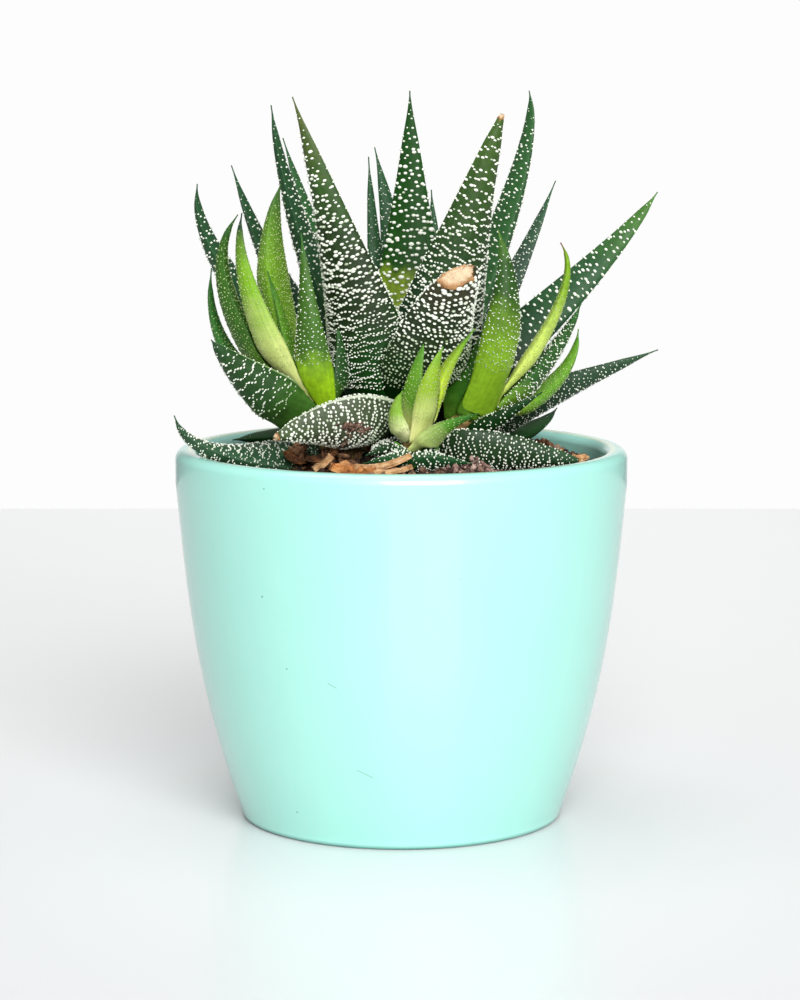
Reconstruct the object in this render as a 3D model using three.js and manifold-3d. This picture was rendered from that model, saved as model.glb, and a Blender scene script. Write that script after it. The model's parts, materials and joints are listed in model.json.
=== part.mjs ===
// Potted haworthia: a glazed ceramic pot of soil that holds a large rosette and three offsets.
// Millimetres, +Z up. The origin is the middle of the pot's flat underside.
// The front of the plant faces -Y, with +X to its right.

import * as THREE from "three";
import { mergeVertices } from "three/addons/utils/BufferGeometryUtils.js";
import Module from "manifold-3d";

const wasm = await Module();
wasm.setup();

// Driving dimensions
const GAP = 0.3; // left between pieces that touch
const FINEST = 0.06; // detail smaller than this is closed up after a cut
const POT = {
  height: 66,
  rimRadius: 40,
  footRadius: 27.9,
  footEdge: 0.7, // small round where the wall meets the underside
  wall: 4,
  floor: 5,
  lipHeight: 6, // upright band under the rim
  lipRound: 1.8, // outer round of the rim
  innerRound: 1.7,
  footLean: 0.36, // outward run per rise at the foot, and under the lip
  lipLean: 0.09,
  swell: 22, // how far up and down those slopes are felt
  sides: 40,
};
const SOIL = {
  level: 62, // at the wall
  mound: 2.2, // higher in the middle
  lump: 0.7,
  sides: 24,
  rings: 7,
};
const LEAF = {
  outerDepth: 0.38, // of the leaf's width, from midrib plane to keel
  innerDepth: 0.1, // of the leaf's width, swell of the inner face
  baseDepth: 0.45, // of the full depth, where the leaf clasps the stem
  rootWidth: 0.65, // of the full width, at the root
  belly: 0.28, // share of the length at which the leaf is widest
  keel: 0.5, // how much sharper the back gets towards the tip
  tipHalfWidth: 0.4,
  tipDepth: 0.35,
  nub: 0.3, // height of a tubercle, and what it gains with the width of the leaf there
  nubPerWidth: 0.035,
};
const ROOM = { sides: 8, rings: 8, slack: 0.04 }; // coarser form of a leaf that neighbours are cut by

const glaze = { color: 0xa6e8dc, roughness: 0.15, metalness: 0 };
const earth = { color: 0x3a2a20, roughness: 1, metalness: 0 };
const bark = { color: 0x9a6a3e, roughness: 0.9, metalness: 0 };
const dryLeaf = { color: 0xc79a68, roughness: 0.9, metalness: 0 };
const stemSkin = { color: 0xb7b26a, roughness: 0.6, metalness: 0 };
const tones = {
  dark: { color: 0x2c5137, roughness: 0.5, metalness: 0 },
  green: { color: 0x4f8236, roughness: 0.5, metalness: 0 },
  bright: { color: 0x8cb936, roughness: 0.5, metalness: 0 },
};

// Each plant: the foot of its stem in the soil, the head that its leaves stand round, and the stem's radius.
// The offsets' stems lean outwards from the main one.
const PLANTS = {
  main: { foot: [0, 1, 50], head: [0, 1, 71.5], radius: 4 },
  left: { foot: [-8, -7, 55], head: [-14, -13, 77.5], radius: 3 },
  right: { foot: [7, -5, 55], head: [11.5, -9.5, 75], radius: 3 },
  front: { foot: [1.5, -16, 56], head: [2.5, -22, 71.5], radius: 2.2 },
};

// Each leaf: height of its root on the stem, a point half way along its midrib, its tip and its width.
// A cut leaf ends at that share of its length. Roll turns the blade about its midrib, in degrees.
const LEAVES = {
  main: [
    { name: "front_stub", root: 69, middle: [7, -19, 93], tip: [15, -36, 106], width: 15.5,
      cut: 0.65, roll: 10 },
    { name: "front_left", root: 69, middle: [-7.5, -10, 94], tip: [-18.5, -14, 127.5], width: 17.5,
      roll: 10 },
    { name: "front_right_cut", root: 69, middle: [8.5, -8, 96.5], tip: [18.5, -12, 128.5], width: 17,
      cut: 0.93, roll: -30 },
    { name: "front_left_cut", root: 68, middle: [-7.5, -17.5, 73.5], tip: [-23.5, -28, 70], width: 12.5,
      cut: 0.93, belly: 0.6, rootWidth: 0.8, roll: 30 },
    { name: "right_spread", root: 69, middle: [30.5, 8.5, 93.5], tip: [46, 13, 110.5], width: 8, roll: 55 },
    { name: "right_low", root: 66, middle: [23, 9.5, 73.5], tip: [46.5, 14, 82], width: 10.5, roll: -55 },
    { name: "front_right_low", root: 67, middle: [12, -15, 68], tip: [33.5, -16, 65], width: 11,
      cut: 0.94, belly: 0.5, rootWidth: 0.8, roll: -30 },
    { name: "left_low", root: 67, middle: [-28, -13.5, 66.5], tip: [-39.5, -9, 72.5], width: 9, roll: -15 },
    { name: "back_upright", root: 69, middle: [1.5, 10.5, 95.5], tip: [1.5, 11, 128.5], width: 15 },
    { name: "right_tall", root: 69, middle: [19, 12, 108], tip: [23, 17, 128.5], width: 7, roll: 5 },
    { name: "left_tall", root: 69, middle: [-16.5, 4.5, 102], tip: [-23, 6, 126], width: 8.5, roll: -5 },
    { name: "left_tall_rear", root: 67.5, middle: [-12, 13, 93], tip: [-21.5, 20, 120], width: 9 },
    { name: "left_rear", root: 69, middle: [-19, 14, 90], tip: [-31, 22, 115], width: 10 },
    { name: "left_spread", root: 69, middle: [-28.5, 7.5, 94], tip: [-36.5, 11, 112], width: 10 },
    { name: "back_left_wide", root: 67.5, middle: [0, 24, 89.5], tip: [-5, 36, 118], width: 10.5 },
    { name: "back_left_slim", root: 69, middle: [-4, 15.5, 91.5], tip: [-6, 24, 116.5], width: 5 },
    { name: "back_right_slim", root: 69, middle: [5, 17.5, 88], tip: [5.5, 25, 110.5], width: 8 },
    { name: "right_rear", root: 67.5, middle: [15.5, 18, 86], tip: [28.5, 29, 112], width: 9.5, roll: 5 },
    { name: "left_rear_low", root: 66.5, middle: [-17.5, 7.5, 67.5], tip: [-30.5, 10, 66], width: 7.5,
      belly: 0.6 },
    { name: "right_rear_low", root: 67, middle: [19.5, 12.5, 67], tip: [28.5, 18, 71], width: 8,
      belly: 0.35, rootWidth: 0.8, roll: 10 },
    { name: "front_small", root: 65.5, middle: [-1, -15, 68.5], tip: [-6, -25, 67.5], width: 8,
      belly: 0.5 },
    { name: "hidden_back", root: 67, middle: [-3, 20, 73], tip: [-6, 36, 84], width: 10 },
    { name: "hidden_back_left", root: 67, middle: [-13, 15, 70], tip: [-24, 26, 76], width: 9 },
    { name: "hidden_back_right", root: 67, middle: [9, 18, 72], tip: [18, 33, 80], width: 10 },
    { name: "heart", root: 70, middle: [0.5, 4.5, 81], tip: [1, 3, 92], width: 6.5 },
    { name: "heart_left", root: 70, middle: [-3.5, 1, 79], tip: [-5, 1, 89], width: 6 },
    { name: "heart_right", root: 70, middle: [3.5, 0, 78], tip: [5, -1, 87], width: 5.5 },
  ],
  left: [
    { name: "inner_wide", root: 74, middle: [-21.5, -4.5, 96], tip: [-21, -3, 112.5], width: 8.5,
      belly: 0.5, roll: 35 },
    { name: "bright", root: 75, middle: [-25, -18.5, 94], tip: [-27, -18, 108], width: 7, roll: 5 },
    { name: "outer", root: 74, middle: [-29, -13, 93.5], tip: [-28, -12, 107.5], width: 7.5, roll: 5 },
    { name: "front", root: 75, middle: [-15.5, -19, 89], tip: [-17, -17, 104.5], width: 7.5,
      belly: 0.15, rootWidth: 0.9, roll: 5 },
    { name: "low", root: 72, middle: [-26, -19.5, 80.5], tip: [-32, -24, 87], width: 8.5,
      rootWidth: 1.1, roll: 50 },
    { name: "far", root: 73.5, middle: [-29.5, -8.5, 83.5], tip: [-33, -6, 98], width: 5.5 },
    { name: "inner_small", root: 75, middle: [-19, -11.5, 85], tip: [-23, -8, 97.5], width: 4.5 },
    { name: "right_small", root: 73.5, middle: [-11, -12.5, 83], tip: [-11, -13, 88], width: 5.5, roll: -5 },
  ],
  right: [
    { name: "front_wide", root: 73, middle: [17.5, -15.5, 91], tip: [16.5, -14, 105], width: 6.5,
      belly: 0.4, rootWidth: 1.1, roll: -20 },
    { name: "curved", root: 72, middle: [26.5, -9, 91], tip: [27.5, -8, 102.5], width: 4, roll: -5 },
    { name: "outer", root: 72, middle: [25, -4.5, 82.5], tip: [31.5, -2, 91.5], width: 7.5, roll: -10 },
    { name: "outer_rear", root: 72, middle: [26.5, 0.5, 77.5], tip: [31.5, 5, 86.5], width: 5.5 },
    { name: "inner", root: 72, middle: [11, -10.5, 80], tip: [15, -2, 91.5], width: 6.5,
      belly: 0.4, rootWidth: 1.1 },
    { name: "low", root: 71, middle: [16, -16, 73], tip: [24, -18, 77.5], width: 6.5 },
  ],
  front: [
    { name: "upright", root: 70, middle: [2, -22, 79], tip: [4, -20, 86.5], width: 3.4,
      belly: 0.45, rootWidth: 1.1 },
    { name: "bright", root: 70, middle: [4.5, -25.5, 79.5], tip: [7, -26, 86], width: 4.2,
      belly: 0.45, rootWidth: 1.2 },
    { name: "right", root: 70, middle: [5, -22, 78], tip: [12.5, -19, 88.5], width: 5.5,
      belly: 0.5, rootWidth: 0.9 },
    { name: "low_right", root: 69.5, middle: [6.5, -26, 72.5], tip: [13, -28, 75], width: 6,
      rootWidth: 1.2 },
    { name: "low_left", root: 70, middle: [-0.8, -23.5, 74], tip: [0.2, -25, 78.5], width: 3.6,
      rootWidth: 1.2 },
    { name: "under_right", root: 67.5, middle: [5, -26, 67.5], tip: [12, -28, 66.5], width: 6.5,
      belly: 0.4, rootWidth: 1.2 },
    { name: "under_left", root: 67.5, middle: [-0.5, -26, 67.5], tip: [-6.5, -27.5, 66.5], width: 6,
      belly: 0.4, rootWidth: 1.2 },
  ],
};
const TONES = {
  main: "dark",
  left: "green",
  right: "green",
  front: "bright",
  left_inner_wide: "bright",
  left_bright: "bright",
  left_low: "dark",
  right_curved: "bright",
  right_inner: "dark",
  right_low: "dark",
  front_under_right: "dark",
  front_under_left: "dark",
};

// Loose bits that lie on the soil: size, where they lie, how they are turned, and how much they curl
const BITS = [
  { name: "bark_curl", size: [15, 3, 1], at: [0, -9, 64.6], turn: -18, tilt: 8, curl: 50, look: bark },
  { name: "bark_shard", size: [4, 3, 1], at: [-8.5, -10, 65], turn: 30, tilt: -50, curl: 0, look: bark },
  { name: "bark_left", size: [6, 4, 1.2], at: [-15, -3, 63.8], turn: 40, tilt: 6, curl: 10, look: bark },
  { name: "bark_right", size: [5, 3.5, 1.2], at: [8, 0, 64], turn: -30, tilt: 10, curl: 0, look: bark },
  { name: "dry_leaf_end", size: [4.5, 3, 0.8], at: [31, 3, 62.9], turn: 35, tilt: -12, curl: 60,
    look: dryLeaf },
];

const smooth = (low, high, value) => THREE.MathUtils.smoothstep(value, low, high);

// A closed three.js geometry as a solid
function toSolid(geometry) {
  const bare = geometry.clone();
  bare.deleteAttribute("normal");
  bare.deleteAttribute("uv");
  const merged = mergeVertices(bare, 1e-4);
  return new wasm.Manifold(
    new wasm.Mesh({
      numProp: 3,
      vertProperties: merged.getAttribute("position").array,
      triVerts: Uint32Array.from(merged.getIndex().array),
    }),
  );
}

// A solid as a three.js geometry
function toGeometry(solid) {
  const mesh = solid.getMesh();
  const geometry = new THREE.BufferGeometry();
  geometry.setAttribute("position", new THREE.BufferAttribute(mesh.vertProperties, 3));
  geometry.setIndex(new THREE.BufferAttribute(mesh.triVerts, 1));
  geometry.computeVertexNormals();
  return geometry;
}

// The biggest body of a solid, with slivers closed up
function mainBody(solid) {
  const bodies = solid.simplify(FINEST).decompose();
  return bodies.reduce((best, body) => (body.volume() > best.volume() ? body : best));
}

// Turns a profile of [radius, height] pairs about the Z axis
function turned(profile, sides) {
  const points = profile.map(([radius, height]) => new THREE.Vector2(radius, height));
  return new THREE.LatheGeometry(points, sides).rotateX(Math.PI / 2);
}

// Points on an arc of a profile, from one angle to another, in quarter-turn shares
function arc(centreRadius, centreHeight, radius, from, to, steps) {
  return Array.from({ length: steps + 1 }, (_, i) => {
    const angle = (from + ((to - from) * i) / steps) * (Math.PI / 2);
    return [centreRadius + radius * Math.cos(angle), centreHeight + radius * Math.sin(angle)];
  });
}

// The pot's outer wall, from the round of the foot to the lip
const wallCurve = new THREE.CubicBezierCurve(
  new THREE.Vector2(POT.footRadius + POT.footEdge, POT.footEdge),
  new THREE.Vector2(POT.footRadius + POT.footEdge + POT.footLean * POT.swell, POT.footEdge + POT.swell),
  new THREE.Vector2(POT.rimRadius - POT.lipLean * POT.swell, POT.height - POT.lipHeight - POT.swell),
  new THREE.Vector2(POT.rimRadius, POT.height - POT.lipHeight),
);
const wallPoints = wallCurve.getPoints(6).map((point) => [point.x, point.y]);

// The cavity's profile, drawn in by an extra clearance, up to a height
function cavityProfile(clearance, top) {
  const inside = wallPoints
    .filter(([, height]) => height > POT.floor + 4 && height < top - 4)
    .map(([radius, height]) => [radius - POT.wall - clearance, height]);
  const floorRadius = inside[0][0] - 4;
  return [[0, POT.floor + clearance], [floorRadius, POT.floor + clearance], ...inside];
}

function makePot() {
  const foot = arc(POT.footRadius, POT.footEdge, POT.footEdge, -1, 0, 2);
  const lip = arc(POT.rimRadius - POT.lipRound, POT.height - POT.lipRound, POT.lipRound, 0, 1, 3);
  const crest = POT.rimRadius - POT.wall + POT.innerRound;
  const innerRim = arc(crest, POT.height - POT.innerRound, POT.innerRound, 1, 2, 2);
  const cavity = cavityProfile(0, POT.height).reverse();
  return turned([[0, 0], ...foot, ...wallPoints.slice(1), ...lip, ...innerRim, ...cavity], POT.sides);
}

// Height of the lumpy soil surface
function soilHeight(x, y) {
  const radius = Math.hypot(x, y);
  const lumps = Math.sin(0.9 * x + 1.3) * Math.sin(0.8 * y + 0.4) + 0.5 * Math.sin(1.7 * x - 0.6 * y);
  return SOIL.level + SOIL.mound * (1 - smooth(10, 34, radius)) + SOIL.lump * 0.6 * lumps;
}

function makeSoil() {
  const wall = cavityProfile(GAP, SOIL.level);
  const edge = POT.rimRadius - POT.wall - GAP;
  const rings = Array.from({ length: SOIL.rings + 1 }, (_, i) => [edge * (1 - i / SOIL.rings), SOIL.level]);
  const geometry = turned([...wall, ...rings], SOIL.sides);
  const place = geometry.getAttribute("position");
  for (let i = 0; i < place.count; i++) {
    if (Math.abs(place.getZ(i) - SOIL.level) < 1e-3) {
      place.setZ(i, soilHeight(place.getX(i), place.getY(i)));
    }
  }
  return toSolid(geometry);
}

// A round stem with a blunt head, leaning from its foot to its head
function makeStem(plant, clearance) {
  const foot = new THREE.Vector3(...plant.foot);
  const rise = new THREE.Vector3(...plant.head).sub(foot);
  const wide = plant.radius + clearance;
  const high = rise.length() + clearance;
  const shoulder = high - 0.5 * plant.radius;
  const profile = [[0, -clearance], [wide, -clearance], [wide, shoulder], [0.7 * wide, high], [0, high]];
  const lean = new THREE.Quaternion().setFromUnitVectors(new THREE.Vector3(0, 0, 1), rise.normalize());
  const geometry = turned(profile, 12).applyQuaternion(lean);
  return toSolid(geometry.translate(foot.x, foot.y, foot.z));
}

// Midrib of a leaf: a parabola from its root on the stem through its middle to its tip
function midrib(leaf, plant) {
  const middle = new THREE.Vector3(...leaf.middle);
  const tip = new THREE.Vector3(...leaf.tip);
  const axis = new THREE.Vector3(...plant.head).setZ(0);
  const reach = middle.clone().sub(axis).setZ(0).setLength(0.6 * plant.radius);
  const root = axis.clone().add(reach).setZ(leaf.root);
  const control = middle.clone().multiplyScalar(2).sub(root.clone().add(tip).multiplyScalar(0.5));
  return new THREE.QuadraticBezierCurve3(root, control, tip);
}

// Half width of a leaf at a share of its length, as a share of the greatest
function outline(share, belly, rootWidth) {
  if (share < belly) {
    return rootWidth + (1 - rootWidth) * Math.sin((Math.PI / 2) * (share / belly));
  }
  const along = (share - belly) / (1 - belly);
  return (1 - along ** 1.3) * (1 - 0.3 * along);
}

// How strongly tubercles stand out at a share of the length: none at the clasping base or the very tip
const nubZone = (share) => smooth(0.14, 0.26, share) * (1 - smooth(0.86, 0.97, share));

// A leaf: rings of corners about the midrib, flat above and keeled below, every third corner a tubercle.
// Grown by a clearance instead, it is the room that a neighbour leaves for it.
function makeLeaf(leaf, plant, clearance) {
  const { sides, rings } = clearance > 0 ? ROOM : detail(leaf);
  const { belly = LEAF.belly, rootWidth = LEAF.rootWidth, cut = 1, roll = 0 } = leaf;
  const curve = midrib(leaf, plant);
  const slack = clearance > 0 ? clearance + ROOM.slack * leaf.width : 0;
  const [headX, headY] = plant.head;
  const outward = new THREE.Vector3(leaf.tip[0] - headX, leaf.tip[1] - headY, 0).normalize();
  const inward = new THREE.Vector3(0, 0, 1).sub(outward);
  const geometry = new THREE.CylinderGeometry(1, 1, 1, sides, rings);
  const place = geometry.getAttribute("position");
  const corner = new THREE.Vector3();
  for (let i = 0; i < place.count; i++) {
    corner.fromBufferAttribute(place, i);
    const ring = Math.round((corner.y + 0.5) * rings);
    const share = (ring / rings) * cut;
    const angle = Math.atan2(corner.x, corner.z) - (Math.PI * ring) / sides;
    const column = Math.round((Math.atan2(corner.x, corner.z) / (2 * Math.PI)) * sides);
    const rim = Math.hypot(corner.x, corner.z);
    const along = curve.getTangent(share);
    const face = inward.clone().addScaledVector(along, -along.dot(inward)).normalize();
    face.applyAxisAngle(along, THREE.MathUtils.degToRad(roll));
    const across = face.clone().cross(along);
    const fullness = outline(share, belly, rootWidth);
    const half = (leaf.width / 2) * fullness;
    const clasp = LEAF.baseDepth + (1 - LEAF.baseDepth) * smooth(0, 0.3, share);
    const depth = Math.sin(angle) > 0 ? LEAF.innerDepth : LEAF.outerDepth;
    const halfWidth = Math.max(half, LEAF.tipHalfWidth);
    const halfDepth = Math.max(2 * half * depth * clasp, LEAF.tipDepth);
    const keeled = Math.abs(Math.sin(angle)) ** (1 + LEAF.keel * share) * Math.sign(Math.sin(angle));
    const isNub = (column + ring) % 3 === 0 || clearance > 0;
    const nub = (LEAF.nub + LEAF.nubPerWidth * leaf.width * fullness) * nubZone(share);
    const raised = (isNub ? nub : 0) + slack;
    const end = ring === 0 ? -clearance : ring === rings ? clearance : 0;
    const point = curve.getPoint(share).addScaledVector(along, end);
    point.addScaledVector(across, rim * (halfWidth * Math.cos(angle) + raised * Math.cos(angle)));
    point.addScaledVector(face, rim * (halfDepth * keeled + raised * Math.sin(angle)));
    place.setXYZ(i, point.x, point.y, point.z);
  }
  return toSolid(geometry);
}

// Rings and sides that suit a leaf's size
function detail({ tip, root, width }) {
  const reach = Math.hypot(tip[0], tip[1], tip[2] - root);
  if (reach > 30 && width >= 11) return { sides: 12, rings: 12 };
  if (reach > 45) return { sides: 9, rings: 11 };
  return { sides: 9, rings: reach > 28 ? 9 : 7 };
}

// A flat chip, bent along its length by its curl
function makeBit(bit, clearance) {
  const [length, width, thickness] = bit.size.map((value) => value + 2 * clearance);
  const geometry = new THREE.BoxGeometry(length, width, thickness, bit.curl ? 6 : 1, 1, 1);
  const place = geometry.getAttribute("position");
  const bend = THREE.MathUtils.degToRad(bit.curl) / length;
  for (let i = 0; i < place.count; i++) {
    const along = place.getX(i);
    const taper = 1 - 0.35 * Math.abs(along / length);
    place.setY(i, place.getY(i) * taper);
    if (bend > 0) {
      const radius = 1 / bend - place.getZ(i);
      place.setX(i, radius * Math.sin(along * bend));
      place.setZ(i, 1 / bend - radius * Math.cos(along * bend));
    }
  }
  geometry.rotateY(THREE.MathUtils.degToRad(bit.tilt));
  geometry.rotateZ(THREE.MathUtils.degToRad(bit.turn));
  geometry.translate(...bit.at);
  return toSolid(geometry);
}

// Puts the object together, each piece cut clear of the ones before it
const potted = new THREE.Group();

function add(name, geometry, look) {
  const mesh = new THREE.Mesh(geometry, new THREE.MeshStandardMaterial(look));
  mesh.name = name;
  potted.add(mesh);
}

const reaches = (a, b) => {
  const one = a.boundingBox();
  const two = b.boundingBox();
  return [0, 1, 2].every((axis) => one.min[axis] < two.max[axis] && two.min[axis] < one.max[axis]);
};

function cutClear(solid, rooms) {
  let rest = solid;
  for (const room of rooms) {
    if (reaches(rest, room)) rest = rest.subtract(room);
  }
  return mainBody(rest);
}

const potGeometry = makePot();
add("pot", potGeometry, glaze);

const rooms = [];
for (const [plantName, plant] of Object.entries(PLANTS)) {
  add(`${plantName}_stem`, toGeometry(makeStem(plant, 0)), stemSkin);
  rooms.push(makeStem(plant, GAP));
}

for (const [plantName, plant] of Object.entries(PLANTS)) {
  for (const leaf of LEAVES[plantName]) {
    const name = `${plantName}_${leaf.name}`;
    const tone = tones[TONES[name] ?? TONES[plantName]];
    add(`${name}_leaf`, toGeometry(cutClear(makeLeaf(leaf, plant, 0), rooms)), tone);
    rooms.push(makeLeaf(leaf, plant, GAP));
  }
}

for (const bit of BITS) {
  add(bit.name, toGeometry(cutClear(makeBit(bit, 0), rooms)), bit.look);
  rooms.push(makeBit(bit, GAP));
}
add("soil", toGeometry(cutClear(makeSoil(), rooms)), earth);

export default potted;
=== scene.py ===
"""Potted haworthia, modelled and dressed for a plain studio picture.

A glazed cover pot holds potting mix, a large dark rosette and three young offsets. Every leaf is a
keeled blade on a bent midrib, set with raised white tubercles, as the solid model has it.
Sizes are in millimetres, and become metres as a mesh is made. +Z is up and the front faces -Y.
"""

import json
import logging
import math
from dataclasses import dataclass, field
from enum import Enum
from functools import partial
from typing import Callable, Sequence

import bmesh
import bpy
import numpy as np
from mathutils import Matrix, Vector, noise


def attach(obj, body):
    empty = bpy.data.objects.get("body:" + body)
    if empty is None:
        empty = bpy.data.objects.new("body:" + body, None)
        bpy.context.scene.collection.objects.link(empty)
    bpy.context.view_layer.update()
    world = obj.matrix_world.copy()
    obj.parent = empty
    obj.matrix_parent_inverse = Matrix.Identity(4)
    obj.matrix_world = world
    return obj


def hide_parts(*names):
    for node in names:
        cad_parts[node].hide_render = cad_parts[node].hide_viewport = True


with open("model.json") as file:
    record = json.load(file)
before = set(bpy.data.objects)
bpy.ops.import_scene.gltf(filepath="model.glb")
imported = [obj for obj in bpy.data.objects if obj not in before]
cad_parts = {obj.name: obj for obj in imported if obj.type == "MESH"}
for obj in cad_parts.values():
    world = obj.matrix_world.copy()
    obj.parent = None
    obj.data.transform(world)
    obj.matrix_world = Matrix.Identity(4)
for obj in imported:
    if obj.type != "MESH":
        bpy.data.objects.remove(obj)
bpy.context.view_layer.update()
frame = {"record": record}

log = logging.getLogger("potted_haworthia")

MM = 0.001
BODY = "root"
GAP = 0.3
SLOTS = {part["node"]: part["material_slot"] for part in frame["record"]["subparts"]}
Point = tuple[float, float, float]
Outline = list[tuple[float, float]]
Array = np.ndarray
Socket = bpy.types.NodeSocket


# Small tools for numbers, nodes and meshes


def linear(code: str) -> tuple[float, ...]:
    """Turn an sRGB hex colour to linear red, green and blue with an alpha of one."""
    parts = [int(code[i : i + 2], 16) / 255 for i in (1, 3, 5)]
    return *(c / 12.92 if c <= 0.04045 else ((c + 0.055) / 1.055) ** 2.4 for c in parts), 1.0


def per_mm(size: float) -> float:
    """Texture scale whose pattern repeats about once every size millimetres."""
    return 1 / (size * MM)


def smooth(low: float, high: float, value: Array) -> Array:
    """Smooth step from nought at low to one at high."""
    share = np.clip((value - low) / (high - low), 0, 1)
    return share * share * (3 - 2 * share)


def unit(vectors: Array) -> Array:
    """Vectors of length one, along the last axis."""
    return vectors / np.maximum(np.linalg.norm(vectors, axis=-1, keepdims=True), 1e-9)


def dot(one: Array, other: Array) -> Array:
    """Dot products along the last axis."""
    return np.sum(one * other, axis=-1)


def add_node(
    tree: bpy.types.NodeTree,
    kind: str,
    inputs: dict[str | int, object] | Sequence[object] = (),
    out: str | int = 0,
    stops: Sequence[tuple[float, str]] = (),
    **settings: object,
) -> Socket | None:
    """Add a node with its settings and links.

    Args:
        tree: Node tree of the material or world.
        kind: Blender's name for the node, after "ShaderNode".
        inputs: Values, or sockets to link from, by input name or number, or in the inputs' order.
        out: Name or number of the output to hand back.
        stops: Places and hex colours of a colour ramp.
        **settings: The node's own properties.

    Returns:
        The output, or None from a node that has none.
    """
    node = tree.nodes.new(f"ShaderNode{kind}")
    for name, value in settings.items():
        setattr(node, name, value)
    for name, value in inputs.items() if isinstance(inputs, dict) else enumerate(inputs):
        if isinstance(value, Socket):
            tree.links.new(value, node.inputs[name])
        else:
            node.inputs[name].default_value = value
    if stops:
        elements = node.color_ramp.elements
        while len(elements) < len(stops):
            elements.new(1.0)
        for element, (place, colour) in zip(elements, stops):
            element.position, element.color = place, linear(colour)
    return node.outputs[out] if node.outputs else None


def new_material(name: str) -> tuple[bpy.types.Material, Callable[..., Socket]]:
    """Make an empty node material.

    Args:
        name: Name of the material.

    Returns:
        The material, and add_node for its tree.
    """
    material = bpy.data.materials.new(name)
    material.use_nodes = True
    material.node_tree.nodes.clear()
    return material, partial(add_node, material.node_tree)


def start_piece(add: Callable[..., object], **place: object) -> bpy.types.Object:
    """Deselect everything and add a primitive.

    Args:
        add: Operator that adds it.
        **place: Its size and place.

    Returns:
        The new object, active and selected.
    """
    bpy.ops.object.select_all(action="DESELECT")
    add(**place)
    return bpy.context.active_object


def edit_all(*steps: Callable[[], object]) -> None:
    """Run edit-mode operators on the whole of the active shape.

    Args:
        *steps: The operators, in order.
    """
    bpy.ops.object.mode_set(mode="EDIT")
    for step in steps:
        bpy.ops.mesh.select_all(action="SELECT")
        step()
    bpy.ops.object.mode_set(mode="OBJECT")


def read_points(mesh: bpy.types.Mesh) -> Array:
    """Read a mesh's vertices.

    Args:
        mesh: The mesh.

    Returns:
        Their places, as rows.
    """
    flat = np.empty(len(mesh.vertices) * 3)
    mesh.vertices.foreach_get("co", flat)
    return flat.reshape(-1, 3)


def write_points(mesh: bpy.types.Mesh, points: Array) -> None:
    """Move a mesh's vertices to places in millimetres."""
    mesh.vertices.foreach_set("co", (points * MM).ravel())
    mesh.update()


def set_attribute(mesh: bpy.types.Mesh, name: str, values: Array) -> None:
    """Store one number for each vertex, for the material to read."""
    attribute = mesh.attributes.new(name, "FLOAT", "POINT")
    attribute.data.foreach_set("value", values.astype(np.float32))


def take_mesh(shape: bpy.types.Object) -> bpy.types.Mesh:
    """Take the mesh of a modelled shape and remove its object.

    Args:
        shape: The shape.

    Returns:
        Its mesh.
    """
    mesh = shape.data.copy()
    bpy.data.objects.remove(shape)
    return mesh


def ringed_tube(
    sides: int, rings: int, low: float = 0, ends: str = "TRIFAN"
) -> bpy.types.Object:
    """Model a closed tube of radius one, ringed along its length, that ends at a height of one.

    Args:
        sides: Its sides.
        rings: Stretches along its length.
        low: Height at which it starts.
        ends: How its ends are filled.

    Returns:
        The tube.
    """
    depth = 1 - low
    tube = start_piece(
        bpy.ops.mesh.primitive_cylinder_add, vertices=sides, radius=1, depth=depth,
        end_fill_type=ends, location=(0, 0, low + depth / 2), calc_uvs=False,
    )
    bpy.ops.object.transform_apply(location=True, rotation=False, scale=False)
    bpy.ops.object.mode_set(mode="EDIT")
    bpy.ops.mesh.select_mode(type="EDGE")
    bpy.ops.mesh.select_all(action="DESELECT")
    form = bmesh.from_edit_mesh(tube.data)
    for edge in form.edges:
        edge.select_set(abs(edge.verts[0].co.z - edge.verts[1].co.z) > depth / 2)
    bmesh.update_edit_mesh(tube.data)
    bpy.ops.mesh.subdivide(number_cuts=rings - 1)
    bpy.ops.object.mode_set(mode="OBJECT")
    return tube


def add_piece(
    name: str,
    mesh: bpy.types.Mesh,
    material: bpy.types.Material,
    slot: str = "",
    node: str = "",
) -> None:
    """Put a finished mesh in the scene at the origin, shaded smooth, on the object's body.

    Args:
        name: Name of the piece.
        mesh: Its mesh.
        material: Its material.
        slot: Material slot of the record, noted in the log, if it replaces nothing.
        node: Solid piece that it replaces and hides, whose slot is noted in the log, or nothing.
    """
    piece = bpy.data.objects.new(name, mesh)
    mesh.name = name
    mesh.materials.clear()
    mesh.materials.append(material)
    mesh.polygons.foreach_set("use_smooth", np.ones(len(mesh.polygons), dtype=bool))
    bpy.context.scene.collection.objects.link(piece)
    slot = SLOTS.get(node, slot)
    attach(piece, BODY)
    if node:
        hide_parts(node)
    log.info("%s: %d faces, slot %s", name, len(mesh.polygons), slot)


@dataclass
class Template:
    """A small closed shape, modelled once and copied many times."""

    points: Array
    faces: Array


def template_of(shape: bpy.types.Object) -> Template:
    """Take a modelled shape as a template and remove its object.

    Args:
        shape: The active object, modelled round the origin.

    Returns:
        Its points and triangles.
    """
    edit_all(bpy.ops.mesh.quads_convert_to_tris)
    corners = np.empty(len(shape.data.polygons) * 3, dtype=np.int32)
    shape.data.polygons.foreach_get("vertices", corners)
    template = Template(read_points(shape.data), corners.reshape(-1, 3))
    bpy.data.objects.remove(shape)
    return template


def random_frames(rng: np.random.Generator, count: int) -> Array:
    """Turn copies at random.

    Args:
        rng: Source of the turns.
        count: How many copies.

    Returns:
        Three axes of length one for each copy, as rows.
    """
    one = unit(rng.normal(size=(count, 3)))
    two = unit(np.cross(one, rng.normal(size=(count, 3))))
    return np.stack([one, two, np.cross(one, two)], axis=1)


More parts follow.
